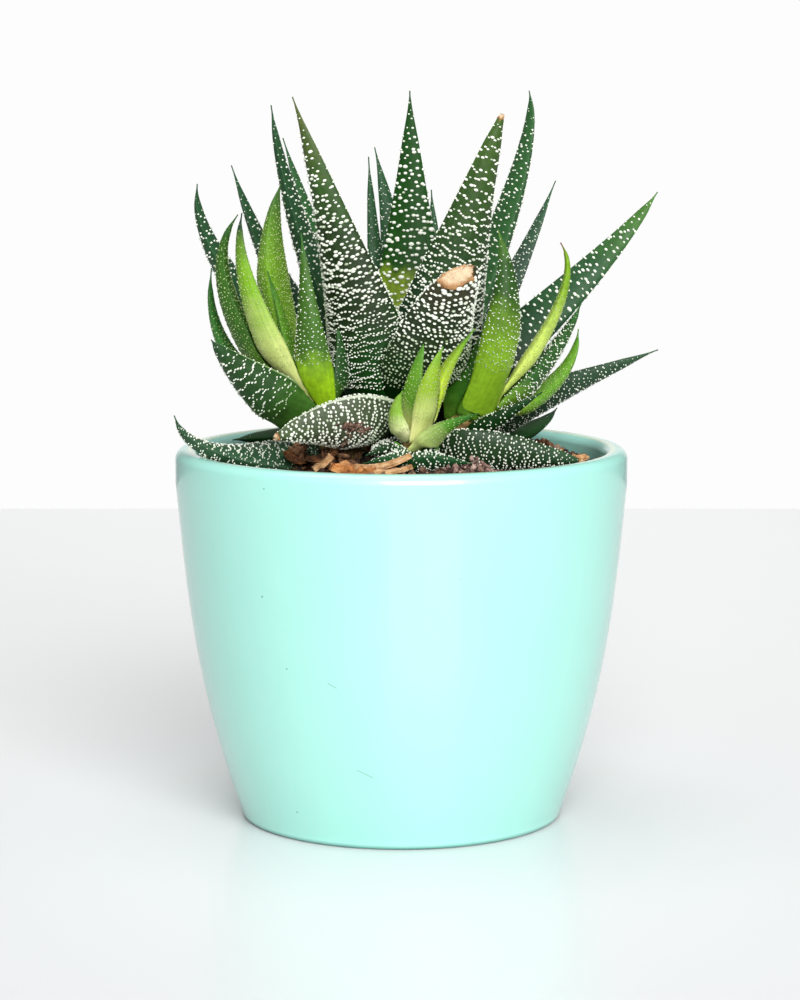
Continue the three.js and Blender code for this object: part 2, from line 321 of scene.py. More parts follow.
def scattered(
    name: str,
    templates: list[Template],
    places: Array,
    frames: Array,
    pick: Array,
    tones: Array,
) -> bpy.types.Mesh:
    """Copy small templates to many places and join the copies.

    Args:
        name: Name of the mesh.
        templates: The shapes to copy.
        places: Centre of each copy.
        frames: Three scaled axes of each copy, as rows.
        pick: Number of the template for each copy.
        tones: A number between nought and one for each copy, which varies its colour.

    Returns:
        The mesh, in metres.
    """
    points, faces, owners = [], [], []
    count = 0
    for number, template in enumerate(templates):
        chosen = np.flatnonzero(pick == number)
        body = np.einsum("vk,nkj->nvj", template.points, frames[chosen])
        body += places[chosen][:, None, :]
        size = len(template.points)
        starts = count + size * np.arange(len(chosen))
        points.append(body.reshape(-1, 3))
        faces.append((template.faces[None] + starts[:, None, None]).reshape(-1, 3))
        owners.append(np.repeat(chosen, size))
        count += size * len(chosen)
    corners = np.concatenate(faces)
    mesh = bpy.data.meshes.new(name)
    mesh.vertices.add(count)
    mesh.vertices.foreach_set("co", (np.concatenate(points) * MM).ravel())
    mesh.loops.add(corners.size)
    mesh.loops.foreach_set("vertex_index", corners.ravel().astype(np.int32))
    mesh.polygons.add(len(corners))
    mesh.polygons.foreach_set("loop_start", np.arange(len(corners), dtype=np.int32) * 3)
    mesh.update(calc_edges=True)
    mesh.validate()
    set_attribute(mesh, "tone", tones[np.concatenate(owners)])
    return mesh


# Finishes


@dataclass(frozen=True)
class LeafSkin:
    """Waxy skin of a succulent leaf: pale where it leaves the crown, darker in the light. A dark base
    colour is painted shade of the crown.
    """

    base: str
    body: str
    tip: str
    base_end: float = 0.05
    fade: float = 0.25
    tip_start: float = 0.8
    turning: str = ""
    streak: float = 0.12
    margin: str = ""
    speckle: float = 0.15
    value: float = 0.8
    roughness: float = 0.46

    def material(self, name: str) -> bpy.types.Material:
        """Make the leaf's material.

        Args:
            name: Name of the leaf.

        Returns:
            A material that reads the blade's own "along" and "side" attributes.
        """
        # Waxy cuticle over living tissue: a soft satin gloss, mottled green with faint long veins.
        material, add = new_material(f"waxy_leaf_skin_{name}")
        along = add("Attribute", out="Fac", attribute_name="along")
        side = add("Attribute", out="Fac", attribute_name="side")
        place = add("TexCoord", out="Object")
        cloud = add("TexNoise", {"Vector": place, "Scale": per_mm(4), "Detail": 3.0})
        drift = add("MapRange", [cloud, 0.3, 0.7, -0.06, 0.06])
        ragged = add("Math", [along, drift], operation="ADD")
        middle = min(self.base_end + self.fade, self.tip_start - 0.02)
        stops = [(self.base_end, self.base), (middle, self.body), (self.tip_start, self.body)]
        if self.turning:
            stops.append((0.5 * (self.tip_start + 0.97), self.turning))
        colour = add("ValToRGB", [ragged], stops=[*stops, (0.97, self.tip)])
        lane = add("CombineXYZ", [side, along])
        stretched = add("Mapping", {"Vector": lane, "Scale": (7.0, 1.3, 1.0)})
        veins = add("TexNoise", {"Vector": stretched, "Scale": 2.0, "Detail": 4.0})
        vein_shade = add("MapRange", [veins, 0.35, 0.65, 1 - self.streak, 1 + self.streak])
        fleck = add("TexNoise", {"Vector": place, "Scale": per_mm(0.9), "Detail": 3.0})
        low, high = (1 - 1.2 * self.speckle) * self.value, (1 + 0.8 * self.speckle) * self.value
        fleck_shade = add("MapRange", [fleck, 0.3, 0.7, low, high])
        shade = add("Math", [vein_shade, fleck_shade], operation="MULTIPLY")
        grey = add("CombineColor", [shade, shade, shade])
        tint = {0: 1.0, 6: colour, 7: grey}
        tinted = add("Mix", tint, 2, data_type="RGBA", blend_type="MULTIPLY")
        if self.margin:
            width = add("Math", [side], operation="ABSOLUTE")
            line = add("MapRange", [width, 0.985, 0.995])
            tinted = add("Mix", {0: line, 6: tinted, 7: linear(self.margin)}, 2, data_type="RGBA")
        pores = add("TexNoise", {"Vector": place, "Scale": per_mm(0.35), "Detail": 2.0})
        relief = add("Bump", {"Height": pores, "Strength": 0.25, "Distance": 0.12 * MM})
        gloss = add("MapRange", [cloud, 0.3, 0.7, self.roughness - 0.06, self.roughness + 0.1])
        look = {"Base Color": tinted, "Roughness": gloss, "IOR": 1.42, "Specular IOR Level": 0.25}
        add("OutputMaterial", [add("BsdfPrincipled", {**look, "Normal": relief})])
        return material


@dataclass(frozen=True)
class TubercleFinish:
    """Chalky white tubercle of a haworthia leaf, duller and greener on young leaves."""

    name: str
    bright: str
    dull: str

    def material(self) -> bpy.types.Material:
        """Make the tubercles' material.

        Returns:
            A material that reads each tubercle's own "tone" attribute.
        """
        # Hard, dry, waxy wart: matt white that lets a little of the green leaf through its foot.
        material, add = new_material(self.name)
        tone = add("Attribute", out="Fac", attribute_name="tone")
        place = add("TexCoord", out="Object")
        grain = add("TexNoise", {"Vector": place, "Scale": per_mm(0.5), "Detail": 2.0})
        mixed = add("Math", [tone, grain], operation="MULTIPLY")
        colour = add("ValToRGB", [mixed], stops=[(0.06, self.dull), (0.3, self.bright)])
        look = {"Base Color": colour, "Roughness": 0.5, "IOR": 1.45}
        add("OutputMaterial", [add("BsdfPrincipled", look)])
        return material


@dataclass(frozen=True)
class GlazeFinish:
    """Mint glaze fired over stoneware: glossy, thinner and paler on sharp edges.

    Specks are a sideways place, a height and a radius. Scratches run from one such place to another.
    """

    colour: str = "#9EE0D2"
    cooler: str = "#9ADDCF"
    # Deep teal of the painted shade along the foot, where the pot stands on the table.
    painted_foot_shade: str = "#3F8F85"
    thin: str = "#DDEFD2"
    mark: str = "#6FAAA0"
    haze: float = 0.46
    polish: float = 0.1
    specks: tuple[Point, ...] = (
        (-23.4, 44.3, 0.24), (-19.3, 32.1, 0.2), (-17.9, 5.7, 0.22), (-22.9, 62.9, 0.18),
        (9.6, 48.5, 0.14),
    )
    scratches: tuple[tuple[float, ...], ...] = (
        (-7.5, 14.9, -4.8, 13.6), (-12.3, 30.2, -10.9, 29.5),
    )
    scratch_size: float = 0.09
    foot_shade_band: tuple[float, float] = (0.9, 0.2)
    crest_band: tuple[float, float] = (65.7, 65.95)
    inner_band: tuple[float, float] = (38.1, 37.5)

    def material(self) -> bpy.types.Material:
        """Make the pot's material.

        Returns:
            A material in the pot's own Object coordinates.
        """
        # Glazed stoneware: a glassy coat over a milky body, with pinholes and a few fine scratches,
        # and painted shade along its foot.
        material, add = new_material("glazed_stoneware_mint")
        place = add("TexCoord", out="Object")
        spread = add("TexNoise", {"Vector": place, "Scale": per_mm(22), "Detail": 3.0})
        body = add("ValToRGB", [spread], stops=[(0.3, self.cooler), (0.7, self.colour)])
        height = add("SeparateXYZ", [place], "Z")
        # Painted shade: the lowest millimetre of the wall darkens to deep teal where the pot stands
        # on the table.
        foot = add("MapRange", [height, *(end * MM for end in self.foot_shade_band)])
        foot_shaded = add("Mix", {0: foot, 6: body, 7: linear(self.painted_foot_shade)}, 2, data_type="RGBA")
        crest = add("MapRange", [height, *(end * MM for end in self.crest_band)])
        across = add("VectorMath", [place, (1.0, 1.0, 0.0)], operation="MULTIPLY")
        radius = add("VectorMath", [across], "Value", operation="LENGTH")
        inside = add("MapRange", [radius, *(end * MM for end in self.inner_band)])
        edge = add("Math", [crest, inside], operation="MULTIPLY")
        marked = add("Mix", {0: edge, 6: foot_shaded, 7: linear(self.thin)}, 2, data_type="RGBA")
        front = add("Math", [add("SeparateXYZ", [place], "Y"), 0.0], operation="LESS_THAN")
        pinholes = [(x, z, x, z, size) for x, z, size in self.specks]
        lines = [(*ends, self.scratch_size) for ends in self.scratches]
        for x, z, end_x, end_z, size in pinholes + lines:
            run = Vector((end_x - x, 0, end_z - z)) * MM
            shift = (-x * MM, 0.0, -z * MM)
            flat = add("VectorMath", [place, (1.0, 0.0, 1.0), shift], operation="MULTIPLY_ADD")
            way = tuple(run / max(run.length_squared, 1e-12))
            share = add("VectorMath", [flat, way], "Value", operation="DOT_PRODUCT")
            held = add("Clamp", [share])
            nearest = add("VectorMath", {0: tuple(run), "Scale": held}, operation="SCALE")
            gap = add("VectorMath", [flat, nearest], "Value", operation="DISTANCE")
            near = add("MapRange", [gap, size * MM, 0.6 * size * MM])
            mask = add("Math", [near, front], operation="MULTIPLY")
            marked = add("Mix", {0: mask, 6: marked, 7: linear(self.mark)}, 2, data_type="RGBA")
        ripple = add("TexNoise", {"Vector": place, "Scale": per_mm(7), "Detail": 2.0})
        relief = add("Bump", {"Height": ripple, "Strength": 0.12, "Distance": 0.3 * MM})
        look = {
            "Base Color": marked, "Roughness": self.haze, "IOR": 1.5, "Specular IOR Level": 1.0,
            "Coat Weight": 1.0, "Coat Roughness": self.polish, "Coat IOR": 1.5,
            "Coat Normal": relief,
        }
        add("OutputMaterial", [add("BsdfPrincipled", look)])
        return material


@dataclass(frozen=True)
class EarthFinish:
    """Crumbly organic matter: potting mix, bark or dry leaf, matt and broken in colour."""

    name: str
    dark: str
    middle: str
    light: str
    grain: float
    stretch: Point = (1.0, 1.0, 1.0)
    relief: float = 0.4

    def material(self, by_piece: bool = True) -> bpy.types.Material:
        """Make the material.

        Args:
            by_piece: Whether the mesh carries a "tone" attribute that varies each bit's colour.

        Returns:
            A matt material on Object coordinates.
        """
        # Dry fibre and crumb: no gloss at all, and colour that breaks up at the size of the grain.
        material, add = new_material(self.name)
        place = add("TexCoord", out="Object")
        laid = add("Mapping", {"Vector": place, "Scale": self.stretch})
        level = add("TexNoise", {"Vector": laid, "Scale": per_mm(self.grain), "Detail": 5.0})
        if by_piece:
            tone = add("Attribute", out="Fac", attribute_name="tone")
            level = add("Mix", {0: 0.55, 2: level, 3: tone}, data_type="FLOAT")
        stops = [(0.25, self.dark), (0.5, self.middle), (0.8, self.light)]
        colour = add("ValToRGB", [level], stops=stops)
        fine = add("TexNoise", {"Vector": laid, "Scale": per_mm(self.grain / 3), "Detail": 4.0})
        bump = add("Bump", {"Height": fine, "Strength": self.relief, "Distance": 0.4 * MM})
        look = {"Base Color": colour, "Roughness": 0.92, "IOR": 1.4, "Normal": bump}
        add("OutputMaterial", [add("BsdfPrincipled", look)])
        return material


@dataclass(frozen=True)
class TableFinish:
    """Pale lacquered table top that mirrors the pot faintly, with painted light: a darker grey on the
    camera's side and brighter at the back.
    """

    colour: str = "#B4B5B7"
    paler: str = "#FEFFFF"
    roughness: float = 0.25

    def material(self) -> bpy.types.Material:
        """Make the table's material.

        Returns:
            A glossy material whose colour brightens away from the camera's side of the table, as
            painted light.
        """
        # Lacquered board: pale grey with a blurred mirror image; its ramp from darker grey near the
        # camera to white at the back is painted light.
        material, add = new_material("lacquered_board_pale")
        place = add("TexCoord", out="Object")
        haze = add("TexNoise", {"Vector": place, "Scale": per_mm(300), "Detail": 2.0})
        # Painted light: the colour ramps from a darker grey on the camera's side to near white at the
        # back.
        away = add("SeparateXYZ", [place], "Y")
        painted_light_falloff = add("MapRange", [away, -500 * MM, 380 * MM, 0.0, 0.9])
        level = add("Mix", {0: 0.1, 2: painted_light_falloff, 3: haze}, data_type="FLOAT")
        colour = add("ValToRGB", [level], stops=[(0.0, self.colour), (1.0, self.paler)])
        look = {"Base Color": colour, "Roughness": self.roughness, "IOR": 1.45}
        add("OutputMaterial", [add("BsdfPrincipled", look)])
        return material


# Tubercles


@dataclass(frozen=True)
class BeadStyle:
    """How tubercles stand on a leaf. Three numbers are for its base, its middle and its tip."""

    rows: Point
    steps: Point
    widths: Point
    lengths: Point
    fused: Point
    height: float = 0.26
    start: float = 0.12
    end: float = 0.97
    knots: Point = (0.25, 0.55, 0.95)
    inner: float = 1.0
    young: bool = False

    def at(self, share: float) -> list[float]:
        """Pitch of the rows, step, width, length and chance of fusing at a share of the leaf."""
        tables = (self.rows, self.steps, self.widths, self.lengths, self.fused)
        return [float(np.interp(share, self.knots, table)) for table in tables]


class Beading(Enum):
    """The ways in which the leaves of this plant are beaded."""

    STUB = BeadStyle((0.72, 0.9, 1.05), (0.66, 1, 1.15), (0.36, 0.74, 0.84), (0.27, 0.46, 0.54),
                     (0.05, 0.05, 0.05), 0.3, 0.38)
    BOLD = BeadStyle((0.62, 0.9, 1.4), (0.56, 0.94, 1.25), (0.34, 0.82, 0.66), (0.26, 0.5, 0.44),
                     (0.2, 0.35, 0.35), 0.28, 0.2, knots=(0.38, 0.58, 0.95))
    BANDED = BeadStyle((0.62, 0.8, 1.95), (0.58, 0.76, 1), (0.36, 0.58, 0.66), (0.29, 0.43, 0.42),
                       (0.15, 0.25, 0.88), start=0.14, knots=(0.25, 0.52, 0.82))
    UPRIGHT = BeadStyle((1.5, 1.25, 1.15), (1.1, 1.2, 1.05), (0.9, 0.9, 0.6), (0.44, 0.62, 0.46),
                        (0.9, 0.2, 0.05))
    SPREAD = BeadStyle((1.45, 1.4, 1.25), (1.3, 1.25, 1.1), (0.74, 0.76, 0.5), (0.5, 0.5, 0.4),
                       (0.1, 0.2, 0.1))
    OPEN = BeadStyle((1.35, 1.22, 1.25), (1.3, 1.12, 1.1), (0.54, 0.47, 0.4), (0.4, 0.38, 0.34),
                     (0.1, 0.12, 0.05))
    PACKED = BeadStyle((0.62, 0.68, 0.74), (0.54, 0.64, 0.7), (0.3, 0.5, 0.56),
                       (0.25, 0.42, 0.46), (0.05, 0.1, 0.05), 0.22, 0.5)
    CROWDED = BeadStyle((0.62, 0.68, 0.75), (0.56, 0.62, 0.7), (0.32, 0.4, 0.38),
                        (0.25, 0.31, 0.31), (0.1, 0.15, 0.05), 0.22)
    DOTTED = BeadStyle((0.8, 0.84, 0.9), (0.64, 0.68, 0.74), (0.26, 0.32, 0.32),
                       (0.22, 0.28, 0.28), (0.05, 0.05, 0), 0.17)
    LINED = BeadStyle((0.9, 1.05, 1), (0.6, 0.62, 0.7), (0.28, 0.36, 0.33), (0.22, 0.28, 0.26),
                      (0.5, 0.75, 0.5), 0.2)
    WAVED = BeadStyle((1.3, 1.75, 1.75), (0.8, 0.7, 0.75), (0.38, 0.52, 0.46), (0.26, 0.3, 0.28),
                      (0.5, 0.92, 0.75), 0.22, 0.3)
    FINE = BeadStyle((0.72, 0.85, 1.15), (0.64, 0.8, 1), (0.2, 0.28, 0.38), (0.18, 0.23, 0.32),
                     (0.1, 0.25, 0.4), 0.17, 0.3)
    BARE = BeadStyle((1.6, 1.6, 1.6), (1.6, 1.6, 1.6), (0.22, 0.22, 0.22), (0.2, 0.2, 0.2),
                     (0, 0, 0), 0.12, 0.86)
    DUSTED = BeadStyle((0.6, 0.68, 0.9), (0.58, 0.64, 0.85), (0.2, 0.26, 0.3),
                       (0.19, 0.23, 0.27), (0, 0, 0), 0.1, 0.25, young=True)


def bead_template(segments: int) -> Template:
    """Model one tubercle: a dome of radius one over a point that sinks into the leaf.

    Args:
        segments: Its sides.

    Returns:
        The closed shape, with few faces because it is copied thousands of times.
    """
    dome = start_piece(
        bpy.ops.mesh.primitive_uv_sphere_add, segments=segments, ring_count=4, radius=1
    )
    for vertex in dome.data.vertices:
        if vertex.co.z < -0.1:
            vertex.co = (0, 0, -0.6)
    edit_all(partial(bpy.ops.mesh.remove_doubles, threshold=0.001))
    return template_of(dome)


# Leaves


@dataclass(frozen=True)
class Crown:
    """Stem of one plant, whose head its leaves stand round."""

    foot: Point
    head: Point
    radius: float


CROWNS = {
    "main": Crown((0, 1, 50), (0, 1, 71.5), 4),
    "left": Crown((-8, -7, 55), (-14, -13, 77.5), 3),
    "right": Crown((7, -5, 55), (11.5, -9.5, 75), 3),
    "front": Crown((1.5, -16, 56), (2.5, -22, 71.5), 2.2),
}


class Fineness(Enum):
    """Sides and rings of a blade's mesh, and sides of its tubercles."""

    LARGE = (48, 72, 7)
    MEDIUM = (36, 48, 6)
    SMALL = (28, 32, 6)


@dataclass
class Blade:
    """One leaf: a blade on a parabolic midrib, nearly flat above and keeled below.

    The numbers are the solid model's own, so that the fine blade keeps the form of the coarse one.
    The first word of its name is that of the stem on which it grows.
    """

    name: str
    root: float
    middle: Point
    tip: Point
    width: float
    skin: LeafSkin
    beading: Beading
    cut: float = 1.0
    belly: float = 0.28
    root_width: float = 0.65
    roll: float = 0.0
    slant: float = 0.0
    outer_depth: float = 0.38
    inner_depth: float = 0.1
    base_depth: float = 0.45
    keel: float = 0.5
    nub: float = 0.3
    nub_per_width: float = 0.035
    skin_share: float = 0.65
    shoulder: float = 0.18
    finest: float = 0.12
    bead_room: float = 0.22
    large_area: float = 380
    small_area: float = 120
    samples: int = 90
    ring_samples: int = 97

    def __post_init__(self) -> None:
        """Lay out the midrib once for the searches."""
        crown = CROWNS[self.name.split("_")[0]]
        head = np.array([*crown.head[:2], 0.0])
        middle, self.finish = np.array(self.middle), np.array(self.tip)
        reach = unit((middle - head) * (1, 1, 0)) * 0.6 * crown.radius
        self.start = head + reach + (0, 0, self.root)
        self.control = 2 * middle - (self.start + self.finish) / 2
        self.inward = np.array((0, 0, 1)) - unit((self.finish - head) * (1, 1, 0))
        self.shares = np.linspace(0, self.cut, self.samples)
        self.rib, _ = self.midrib(self.shares)
        steps = np.linalg.norm(np.diff(self.rib, axis=0), axis=1)
        self.lengths = np.concatenate([[0], np.cumsum(steps)])

    def midrib(self, share: Array) -> tuple[Array, Array]:
        """Follow the midrib.

        Args:
            share: Shares of its length.

        Returns:
            Its points there, and its directions.
        """
        t = share[:, None]
        place = (1 - t) ** 2 * self.start + 2 * t * (1 - t) * self.control + t**2 * self.finish
        lead = (1 - t) * (self.control - self.start) + t * (self.finish - self.control)
        return place, unit(lead)

    def axes(self, share: Array) -> tuple[Array, Array, Array]:
        """Find the blade's own axes.

        Args:
            share: Shares of the blade's length.

        Returns:
            Directions across the blade, out of its inner face and along it.
        """
        _, along = self.midrib(share)
        face = unit(self.inward - along * dot(along, self.inward)[:, None])
        turn = math.radians(self.roll)
        face = face * math.cos(turn) + np.cross(along, face) * math.sin(turn)
        return np.cross(face, along), face, along

    def half_size(self, share: Array) -> tuple[Array, Array, Array]:
        """Find how wide and deep the blade is.

        Args:
            share: Shares of the blade's length.

        Returns:
            Half its width, and the depth of its outer and its inner side.
        """
        rise = np.sin(np.pi / 2 * np.clip(share / self.belly, 0, 1))
        swell = self.root_width + (1 - self.root_width) * rise
        past = np.clip((share - self.belly) / (1 - self.belly), 0, 1)
        fullness = np.where(share < self.belly, swell, (1 - past**1.3) * (1 - 0.3 * past))
        if self.cut < 1:
            fullness = fullness * (1 - self.shoulder * smooth(0.93 * self.cut, self.cut, share))
        half = self.width / 2 * fullness
        clasp = self.base_depth + (1 - self.base_depth) * smooth(0, 0.3, share)
        skin = self.skin_share * (self.nub + self.nub_per_width * self.width * fullness)
        skin = skin * smooth(0.14, 0.26, share) * (1 - smooth(0.86, 0.97, share))
        outer = np.maximum(2 * half * self.outer_depth * clasp + skin, self.finest)
        inner = np.maximum(2 * half * self.inner_depth * clasp + skin, self.finest)
        return np.maximum(half + skin, self.finest), outer, inner

    def surface(self, share: Array, angle: Array, rim: float | Array = 1.0) -> Array:
        """Find points of the blade's skin.

        Args:
            share: Shares of the blade's length.
            angle: Angles round it: nought and pi are its edges, below nought is its back.
            rim: Share of the way out from the midrib.

        Returns:
            The points.
        """
        place, _ = self.midrib(share)
        across, face, along = self.axes(share)
        half, outer, inner = self.half_size(share)
        rise = np.sin(angle)
        keeled = np.abs(rise) ** (1 + self.keel * share) * np.sign(rise)
        depth = np.where(rise > 0, inner, outer) * keeled * rim
        sideways = half * np.cos(angle) * rim
        ahead = self.slant * sideways * smooth(0.75 * self.cut, self.cut, share)
        return place + across * sideways[:, None] + face * depth[:, None] + along * ahead[:, None]

    def sections(self, points: Array, margin: float) -> tuple[Array, ...]:
        """Find where points lie in the blade's cross-sections, grown by a margin.

        Args:
            points: Points to place.
            margin: How far the sections are grown.

        Returns:
            The nearest share of its length, offsets across and out of the face, half width, outer
            and inner depth there, and whether the point lies past either end, and inside.
        """
        gaps = np.linalg.norm(points[:, None, :] - self.rib[None], axis=2)
        nearest = np.argmin(gaps, axis=1)
        share = self.shares[nearest]
        across, face, along = self.axes(share)
        away = points - self.rib[nearest]
        ahead = dot(away, along)
        past = ((nearest == self.samples - 1) & (ahead > 0)) | ((nearest == 0) & (ahead < 0))
        x, y = dot(away, across), dot(away, face)
        half, outer, inner = (size + margin for size in self.half_size(share))
        depth = np.where(y > 0, inner, outer)
        spread = (x / half) ** 2 + (np.abs(y) / depth) ** (2 / (1 + self.keel * share))
        return share, x, y, half, outer, inner, past, (spread < 1) & ~past

    def holds(self, points: Array, margin: float) -> Array:
        """Whether each point lies inside the blade, grown by a margin."""
        return self.sections(points, margin)[-1]

    def press_clear(self, points: Array, ribs: Array, other: "Blade") -> Array:
        """Press this blade flat against another where the two would run into each other.

        Args:
            points: Points of this blade.
            ribs: The point of this blade's midrib that each belongs to.
            other: The blade that keeps its form.

        Returns:
            The points, moved out of the other blade to the side on which this one lies.
        """
        share, x, y, half, outer, inner, past, inside = other.sections(points, GAP)
        if not inside.any():
            return points
        rib, _ = other.midrib(share)
        away = unit((ribs - rib)[inside].sum(axis=0))
        across, face, _ = other.axes(share)
        lean = unit(np.stack([across @ away, face @ away], axis=1))
        side = -lean[:, 1] * x + lean[:, 0] * y
        height = lean[:, 0] * x + lean[:, 1] * y
        angle = np.linspace(0, 2 * np.pi, 49)
        rise = np.sin(angle)[None]
        bend = np.abs(rise) ** (1 + other.keel * share[:, None]) * np.sign(rise)
        edge_x = half[:, None] * np.cos(angle)[None]
        edge_y = np.where(rise > 0, inner[:, None], outer[:, None]) * bend
        edge_side = -lean[:, 1:] * edge_x + lean[:, :1] * edge_y - side[:, None]
        edge_height = lean[:, :1] * edge_x + lean[:, 1:] * edge_y
        crosses = edge_side[:, :-1] * edge_side[:, 1:] <= 0
        drop = edge_side[:, :-1] - edge_side[:, 1:]
        run = edge_side[:, :-1] / np.where(np.abs(drop) < 1e-9, 1e-9, drop)
        level = edge_height[:, :-1] + (edge_height[:, 1:] - edge_height[:, :-1]) * run
        reach = np.where(crosses, level, -np.inf).max(axis=1)
        lift = np.where((reach > height) & ~past, reach - height, 0)
        lift = np.where(np.isfinite(lift), lift, 0)
        return points + (lean[:, :1] * across + lean[:, 1:] * face) * lift[:, None]

    def fineness(self) -> Fineness:
        """Choose how fine a mesh suits the blade's size.

        Returns:
            The fineness for its length times its width.
        """
        area = self.lengths[-1] * self.width
        if area > self.large_area:
            return Fineness.LARGE
        return Fineness.MEDIUM if area > self.small_area else Fineness.SMALL

    def build(self, blank: bpy.types.Mesh, earlier: list["Blade"]) -> bpy.types.Mesh:
        """Shape a copy of a blank tube to the blade.

        Args:
            blank: Tube of radius one from nought to one in height.
            earlier: Blades that keep their form where this one meets them.

        Returns:
            The blade's mesh, in metres.
        """
        mesh = blank.copy()
        form = read_points(mesh)
        share = form[:, 2] * self.cut
        angle = np.arctan2(form[:, 1], form[:, 0])
        rim = np.minimum(np.hypot(form[:, 0], form[:, 1]), 1)
        points = self.surface(share, angle, rim)
        ribs, _ = self.midrib(share)
        for other in earlier:
            reach = other.width + self.width
            low, high = other.rib.min(axis=0) - reach, other.rib.max(axis=0) + reach
            if np.all(points.max(axis=0) > low) and np.all(points.min(axis=0) < high):
                points = self.press_clear(points, ribs, other)
        write_points(mesh, points)
        set_attribute(mesh, "along", form[:, 2])
        set_attribute(mesh, "side", form[:, 0] * rim)
        return mesh

    def bead_sites(self, rng: np.random.Generator) -> Array:
        """Walk round the blade row by row and note where tubercles stand.

        Args:
            rng: Source of the small irregularities.

        Returns:
            Four rows: shares of the length, angles, and the tubercles' half widths and lengths.
        """
        style = self.beading.value
        sites = []
        angles = np.linspace(0, 2 * np.pi, self.ring_samples)
        reach = self.lengths[-1]
        end = style.end if self.cut == 1 else 1.0
        travelled = style.start * reach
        odd = False
        while travelled < end * reach:
            share = float(np.interp(travelled, self.lengths, self.shares))
            pitch, step, width, length, fused = style.at(share)
            ring = self.surface(np.full(self.ring_samples, share), angles)
            walks = np.concatenate([[0], np.cumsum(np.linalg.norm(np.diff(ring, axis=0), axis=1))])
            step = min(step, 0.3 * float(walks[-1]))
            wave = rng.uniform(0, 2 * np.pi, 2)
            odd = not odd
            walked = (0.5 * odd + rng.uniform(-0.12, 0.12)) * step
            while walked < walks[-1] - 0.4 * step:
                angle = float(np.interp(walked, walks, angles))
                if math.sin(angle) < 0 or rng.random() < style.inner:
                    drift = 0.35 * math.sin(3 * angle + wave[0])
                    drift += 0.3 * math.sin(9 * angle + wave[1])
                    along = travelled + min(pitch, 0.95) * drift + rng.normal(0, 0.1)
                    grown = float(np.clip(rng.normal(1, 0.2), 0.5, 1.6)) / 2
                    place = float(np.interp(along, self.lengths, self.shares))
                    sites.append((place, angle, width * grown, length * grown))
                if rng.random() < fused:
                    walked += 0.82 * width
                else:
                    walked += step * rng.uniform(0.86, 1.18)
            travelled += pitch
        return np.array(sites).T

    def beads(self, template: Template, earlier: list["Blade"], seed: int) -> bpy.types.Mesh:
        """Set the blade with tubercles.

        Args:
            template: One tubercle of radius one.
            earlier: Blades that this one is pressed against, where it carries none.
            seed: Seed of the small irregularities.

        Returns:
            The tubercles as one mesh.
        """
        rng = np.random.default_rng(seed)
        style = self.beading.value
        sites = self.bead_sites(rng)
        places = self.surface(sites[0], sites[1])
        half, _, _ = self.half_size(sites[0])
        keep = half > self.bead_room
        for other in earlier:
            keep &= ~other.holds(places, GAP)
        share, angle, wide, long = sites[:, keep]
        places, count = places[keep], len(share)
        slim = np.clip(half[keep] / 1.6, 0.55, 1) * np.clip(0.62 + 2.2 * np.abs(np.sin(angle)), 0, 1)
        nudge = 1e-3
        round_way = unit(self.surface(share, angle + nudge) - self.surface(share, angle - nudge))
        end_way = unit(self.surface(share + nudge, angle) - self.surface(share - nudge, angle))
        out = unit(np.cross(round_way, end_way))
        ribs, _ = self.midrib(share)
        out *= np.where(dot(out, places - ribs) < 0, -1, 1)[:, None]
        end_way = np.cross(out, round_way)
        rise = style.height * slim * (0.7 + 0.3 * wide / wide.mean())
        scale = np.stack([wide * slim, long * slim, rise], axis=1)
        frames = np.stack([round_way, end_way, out], axis=1) * scale[:, :, None]
        places = places + out * (0.05 * rise)[:, None]
        # Painted shade: tubercles dim toward where the beading starts near the leaf's base, in the
        # shade of the crown.
        fade = 0.25 + 0.75 * smooth(style.start - 0.08, style.start + 0.12, share)
        tones = np.clip(rng.normal(0.75, 0.2, count), 0.1, 1) * fade
        name = f"{self.name}_tubercles"
        return scattered(name, [template], places, frames, np.zeros(count, dtype=int), tones)


